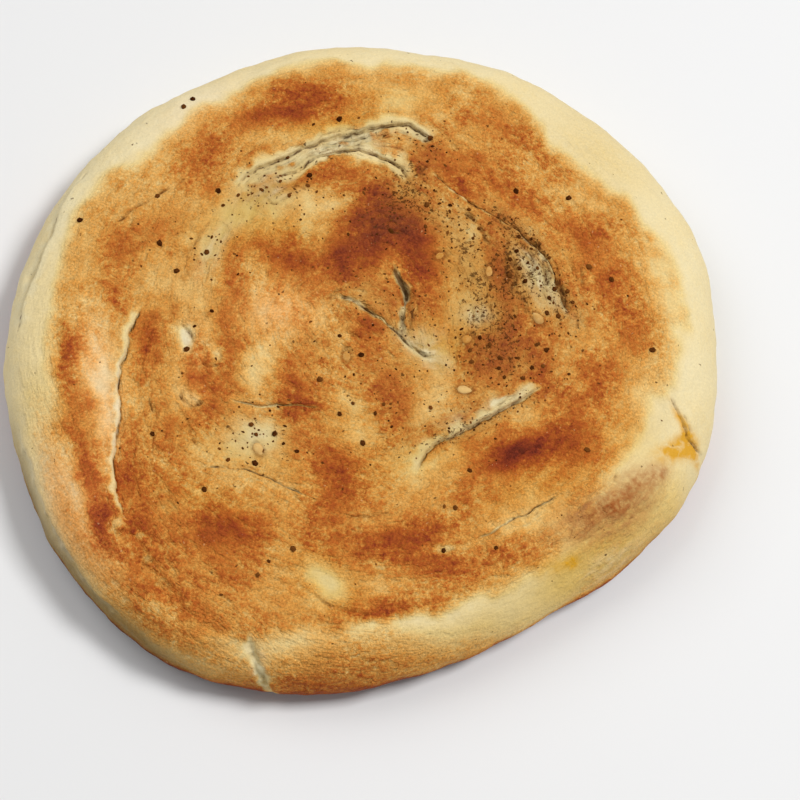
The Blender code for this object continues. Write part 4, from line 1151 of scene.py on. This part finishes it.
def add_seed(bm, place):
    """Add one sesame seed: a flat teardrop, in rings along its length."""
    sides = 12
    rings = 9
    tips = [bm.verts.new((end * SEED_LENGTH / 2 * MM, 0, 0)) for end in (-1, 1)]
    loops = []
    for ring in range(1, rings):
        share = ring / rings - 0.5
        fatness = (1 - (2 * share) ** 2) ** 0.7 * (1 - 0.55 * share)
        loop = []
        for side in range(sides):
            angle = 2 * math.pi * side / sides
            y = fatness * SEED_WIDTH / 2 * math.cos(angle)
            z = fatness * SEED_HEIGHT / 2 * math.sin(angle)
            loop.append(bm.verts.new(Vector((share * SEED_LENGTH, y, z)) * MM))
        loops.append(loop)
    for side in range(sides):
        beyond = (side + 1) % sides
        bm.faces.new((tips[0], loops[0][beyond], loops[0][side]))
        bm.faces.new((tips[1], loops[-1][side], loops[-1][beyond]))
        for near, far in zip(loops, loops[1:]):
            bm.faces.new((near[side], near[beyond], far[beyond], far[side]))
    bmesh.ops.transform(bm, matrix=place, verts=tips + [vertex for loop in loops for vertex in loop])


def lump_shape(rng, radius, longer=1.2, flatter=1.0):
    """The points of an uneven twenty-sided grain, and its faces."""
    bm = bmesh.new()
    bmesh.ops.create_icosphere(bm, subdivisions=1, radius=radius * MM)
    for vertex in bm.verts:
        vertex.co *= rng.uniform(0.8, 1.15)
        vertex.co.x *= longer
        vertex.co.z *= flatter
    bm.verts.index_update()
    points = [vertex.co.copy() for vertex in bm.verts]
    faces = [[vertex.index for vertex in face.verts] for face in bm.faces]
    bm.free()
    return points, faces


def joined_lumps(name, lumps, frames):
    """One mesh of many grains, each in its own frame."""
    points, faces = [], []
    for (corners, sides), place in zip(lumps, frames):
        first = len(points)
        points.extend(place @ corner for corner in corners)
        faces.extend([first + corner for corner in side] for side in sides)
    mesh = bpy.data.meshes.new(name)
    mesh.from_pydata(points, [], faces)
    tones = random.Random(TONE_SEED)
    add_attribute(mesh, "tone", np.repeat([tones.random() for lump in lumps], len(points) // len(lumps)))
    return mesh


def scattered_places(rng):
    """Places for the lesser grains: random draws in each peppered stretch, kept apart and off the rest."""
    taken = [(x, y) for x, y, spin in SEEDS] + list(LARGE_GRAINS)
    grains = []
    for x, y, long, wide, turn, count in PEPPER_STRETCHES:
        turn = math.radians(turn)
        wanted = len(grains) + count
        while len(grains) < wanted:
            reach = math.sqrt(rng.random())
            angle = rng.uniform(0, 2 * math.pi)
            dx = long * reach * math.cos(angle)
            dy = wide * reach * math.sin(angle)
            place = (
                x + dx * math.cos(turn) - dy * math.sin(turn),
                y + dx * math.sin(turn) + dy * math.cos(turn),
            )
            if all(math.dist(place, other) > PEPPER_SPACING for other in taken):
                taken.append(place)
                grains.append(place)
    return grains


def coarse_pepper_mesh():
    """The coarse grains, drawn as in the solid."""
    rng = random.Random(PEPPER_SEED)
    grains = [(place, LARGE_RADIUS) for place in LARGE_GRAINS]
    grains += [(place, rng.uniform(*PEPPER_RADII)) for place in scattered_places(rng)]
    lumps, spins = [], []
    for place, radius in grains:
        lumps.append(lump_shape(rng, radius))
        spins.append(rng.uniform(0, 2 * math.pi))
    return joined_lumps("coarse_pepper", lumps, seats([place for place, radius in grains], spins))


def fine_pepper_mesh():
    """Finer grains, scattered over the top and thickest on its dusty stretches."""
    rng = random.Random(FINE_PEPPER_SEED)
    draws = []
    for draw in range(FINE_PEPPER_DRAWS):
        reach = FINE_PEPPER_REACH * math.sqrt(rng.random())
        angle = rng.uniform(0, 2 * math.pi)
        draws.append((reach * math.cos(angle), reach * math.sin(angle), rng.random()))
    draws = np.array(draws)
    wanted = FINE_PEPPER_SHARE * stretches_of(draws[:, :2], DUSTED_STRETCHES)
    places = thin_out(draws[draws[:, 2] < wanted, :2], FINE_PEPPER_SPACING)
    lumps = []
    for place in places:
        radius = rng.triangular(*FINE_PEPPER_RADII, FINE_PEPPER_RADII[0])
        lumps.append(lump_shape(rng, radius, rng.uniform(*FLAKE_LENGTHS), FLAKE_HEIGHT))
    spins = [rng.uniform(0, 2 * math.pi) for place in places]
    return joined_lumps("fine_pepper", lumps, seats(places, spins))


def sesame_mesh():
    """All the sesame seeds, half sunk in the crust."""
    bm = bmesh.new()
    spins = [math.radians(spin) for x, y, spin in SEEDS]
    for place, tone in zip(seats([(x, y) for x, y, spin in SEEDS], spins), SEED_TONES):
        add_seed(bm, place @ Matrix.Translation((0, 0, -tone * SEED_SINK * MM)))
    bmesh.ops.recalc_face_normals(bm, faces=bm.faces)
    mesh = bpy.data.meshes.new("sesame")
    bm.to_mesh(mesh)
    bm.free()
    add_attribute(mesh, "tone", np.repeat(SEED_TONES, len(mesh.vertices) // len(SEEDS)))
    mesh.shade_smooth()
    return mesh


def add_piece(name, mesh, material):
    """Link a piece that rides on the bread's one body, with its material."""
    piece = bpy.data.objects.new(name, mesh)
    bpy.context.scene.collection.objects.link(piece)
    mesh.materials.append(material)
    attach(piece, "root")
    return piece


# The floor: half its width and how far it lies below the foot, in metres, and its grey.
FLOOR_HALF_WIDTH = 1.5
FLOOR_DROP = 0.0002
FLOOR_GREY = 0.82

# Each light: where it comes from, its distance and size in metres, and its watts. Then the strength of the
# even light from all round.
LIGHTS = {
    "key": ((0.56, 0.08, 1.0), 1.2, 0.35, 9.5),
    "fill": ((-0.75, 0.42, 1.0), 1.4, 1.0, 6.3),
}
WORLD_STRENGTH = 0.28


def add_floor():
    """A plain pale floor."""
    bm = bmesh.new()
    bmesh.ops.create_grid(bm, x_segments=1, y_segments=1, size=FLOOR_HALF_WIDTH)
    mesh = bpy.data.meshes.new("floor")
    bm.to_mesh(mesh)
    bm.free()
    floor = bpy.data.objects.new("floor", mesh)
    bpy.context.scene.collection.objects.link(floor)
    material, tree, shader = new_material("floor", 0.7)
    shader.inputs["Base Color"].default_value = (FLOOR_GREY, FLOOR_GREY, FLOOR_GREY, 1)
    mesh.materials.append(material)
    floor.location.z = -FLOOR_DROP


def add_light(name, direction, distance, size, watts):
    """A square soft light, aimed at the bread."""
    data = bpy.data.lights.new(name, "AREA")
    data.energy = watts
    data.size = size
    light = bpy.data.objects.new(name, data)
    place = Vector(direction).normalized() * distance
    light.location = place
    light.rotation_euler = (-place).to_track_quat("-Z", "Y").to_euler()
    bpy.context.scene.collection.objects.link(light)


# The camera: its height above the horizon and its turn in degrees, its distance, its target and its lens.
CAMERA_ELEVATION = 67.0
CAMERA_TURN = 10.0
CAMERA_DISTANCE = 0.46
CAMERA_TARGET = (0.0073, -0.012, 0.008)
CAMERA_LENS = 93.0
CAMERA_SENSOR = 36


def add_camera():
    """A camera at the photograph's angle, with the bread's far side up in the picture."""
    elevation = math.radians(CAMERA_ELEVATION)
    turn = math.radians(CAMERA_TURN)
    back = Vector((
        -math.sin(turn) * math.cos(elevation),
        -math.cos(turn) * math.cos(elevation),
        math.sin(elevation),
    ))
    right = Vector((0, 1, 0)).cross(back).normalized()
    up = back.cross(right)
    camera = bpy.data.objects.new("camera", bpy.data.cameras.new("camera"))
    camera.data.lens = CAMERA_LENS
    camera.data.sensor_width = CAMERA_SENSOR
    place = Vector(CAMERA_TARGET) + back * CAMERA_DISTANCE
    camera.matrix_world = Matrix.Translation(place) @ Matrix((right, up, back)).transposed().to_4x4()
    bpy.context.scene.collection.objects.link(camera)
    bpy.context.scene.camera = camera


def add_world():
    """Even pale light from all round."""
    world = bpy.data.worlds.new("studio")
    world.use_nodes = True
    background = world.node_tree.nodes["Background"]
    background.inputs["Color"].default_value = (1, 1, 1, 1)
    background.inputs["Strength"].default_value = WORLD_STRENGTH
    bpy.context.scene.world = world


# The toppings' colours, from the plainest to the most toasted grain.
SESAME = ((0.74, 0.48, 0.18), (0.54, 0.235, 0.045))
PEPPER = ((0.045, 0.012, 0.003), (0.19, 0.065, 0.013))

crust = add_piece("crust", crust_mesh(), crust_material())
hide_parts(NODE)
pepper_material = topping_material("pepper", *PEPPER, 0.6)
for topping in (
    add_piece("sesame", sesame_mesh(), topping_material("sesame", *SESAME, 0.45)),
    add_piece("coarse_pepper", coarse_pepper_mesh(), pepper_material),
    add_piece("fine_pepper", fine_pepper_mesh(), pepper_material),
):
    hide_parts(NODE)
add_floor()
add_world()
for light_name, light in LIGHTS.items():
    add_light(light_name, *light)
add_camera()
bpy.context.scene.view_settings.view_transform = "Standard"
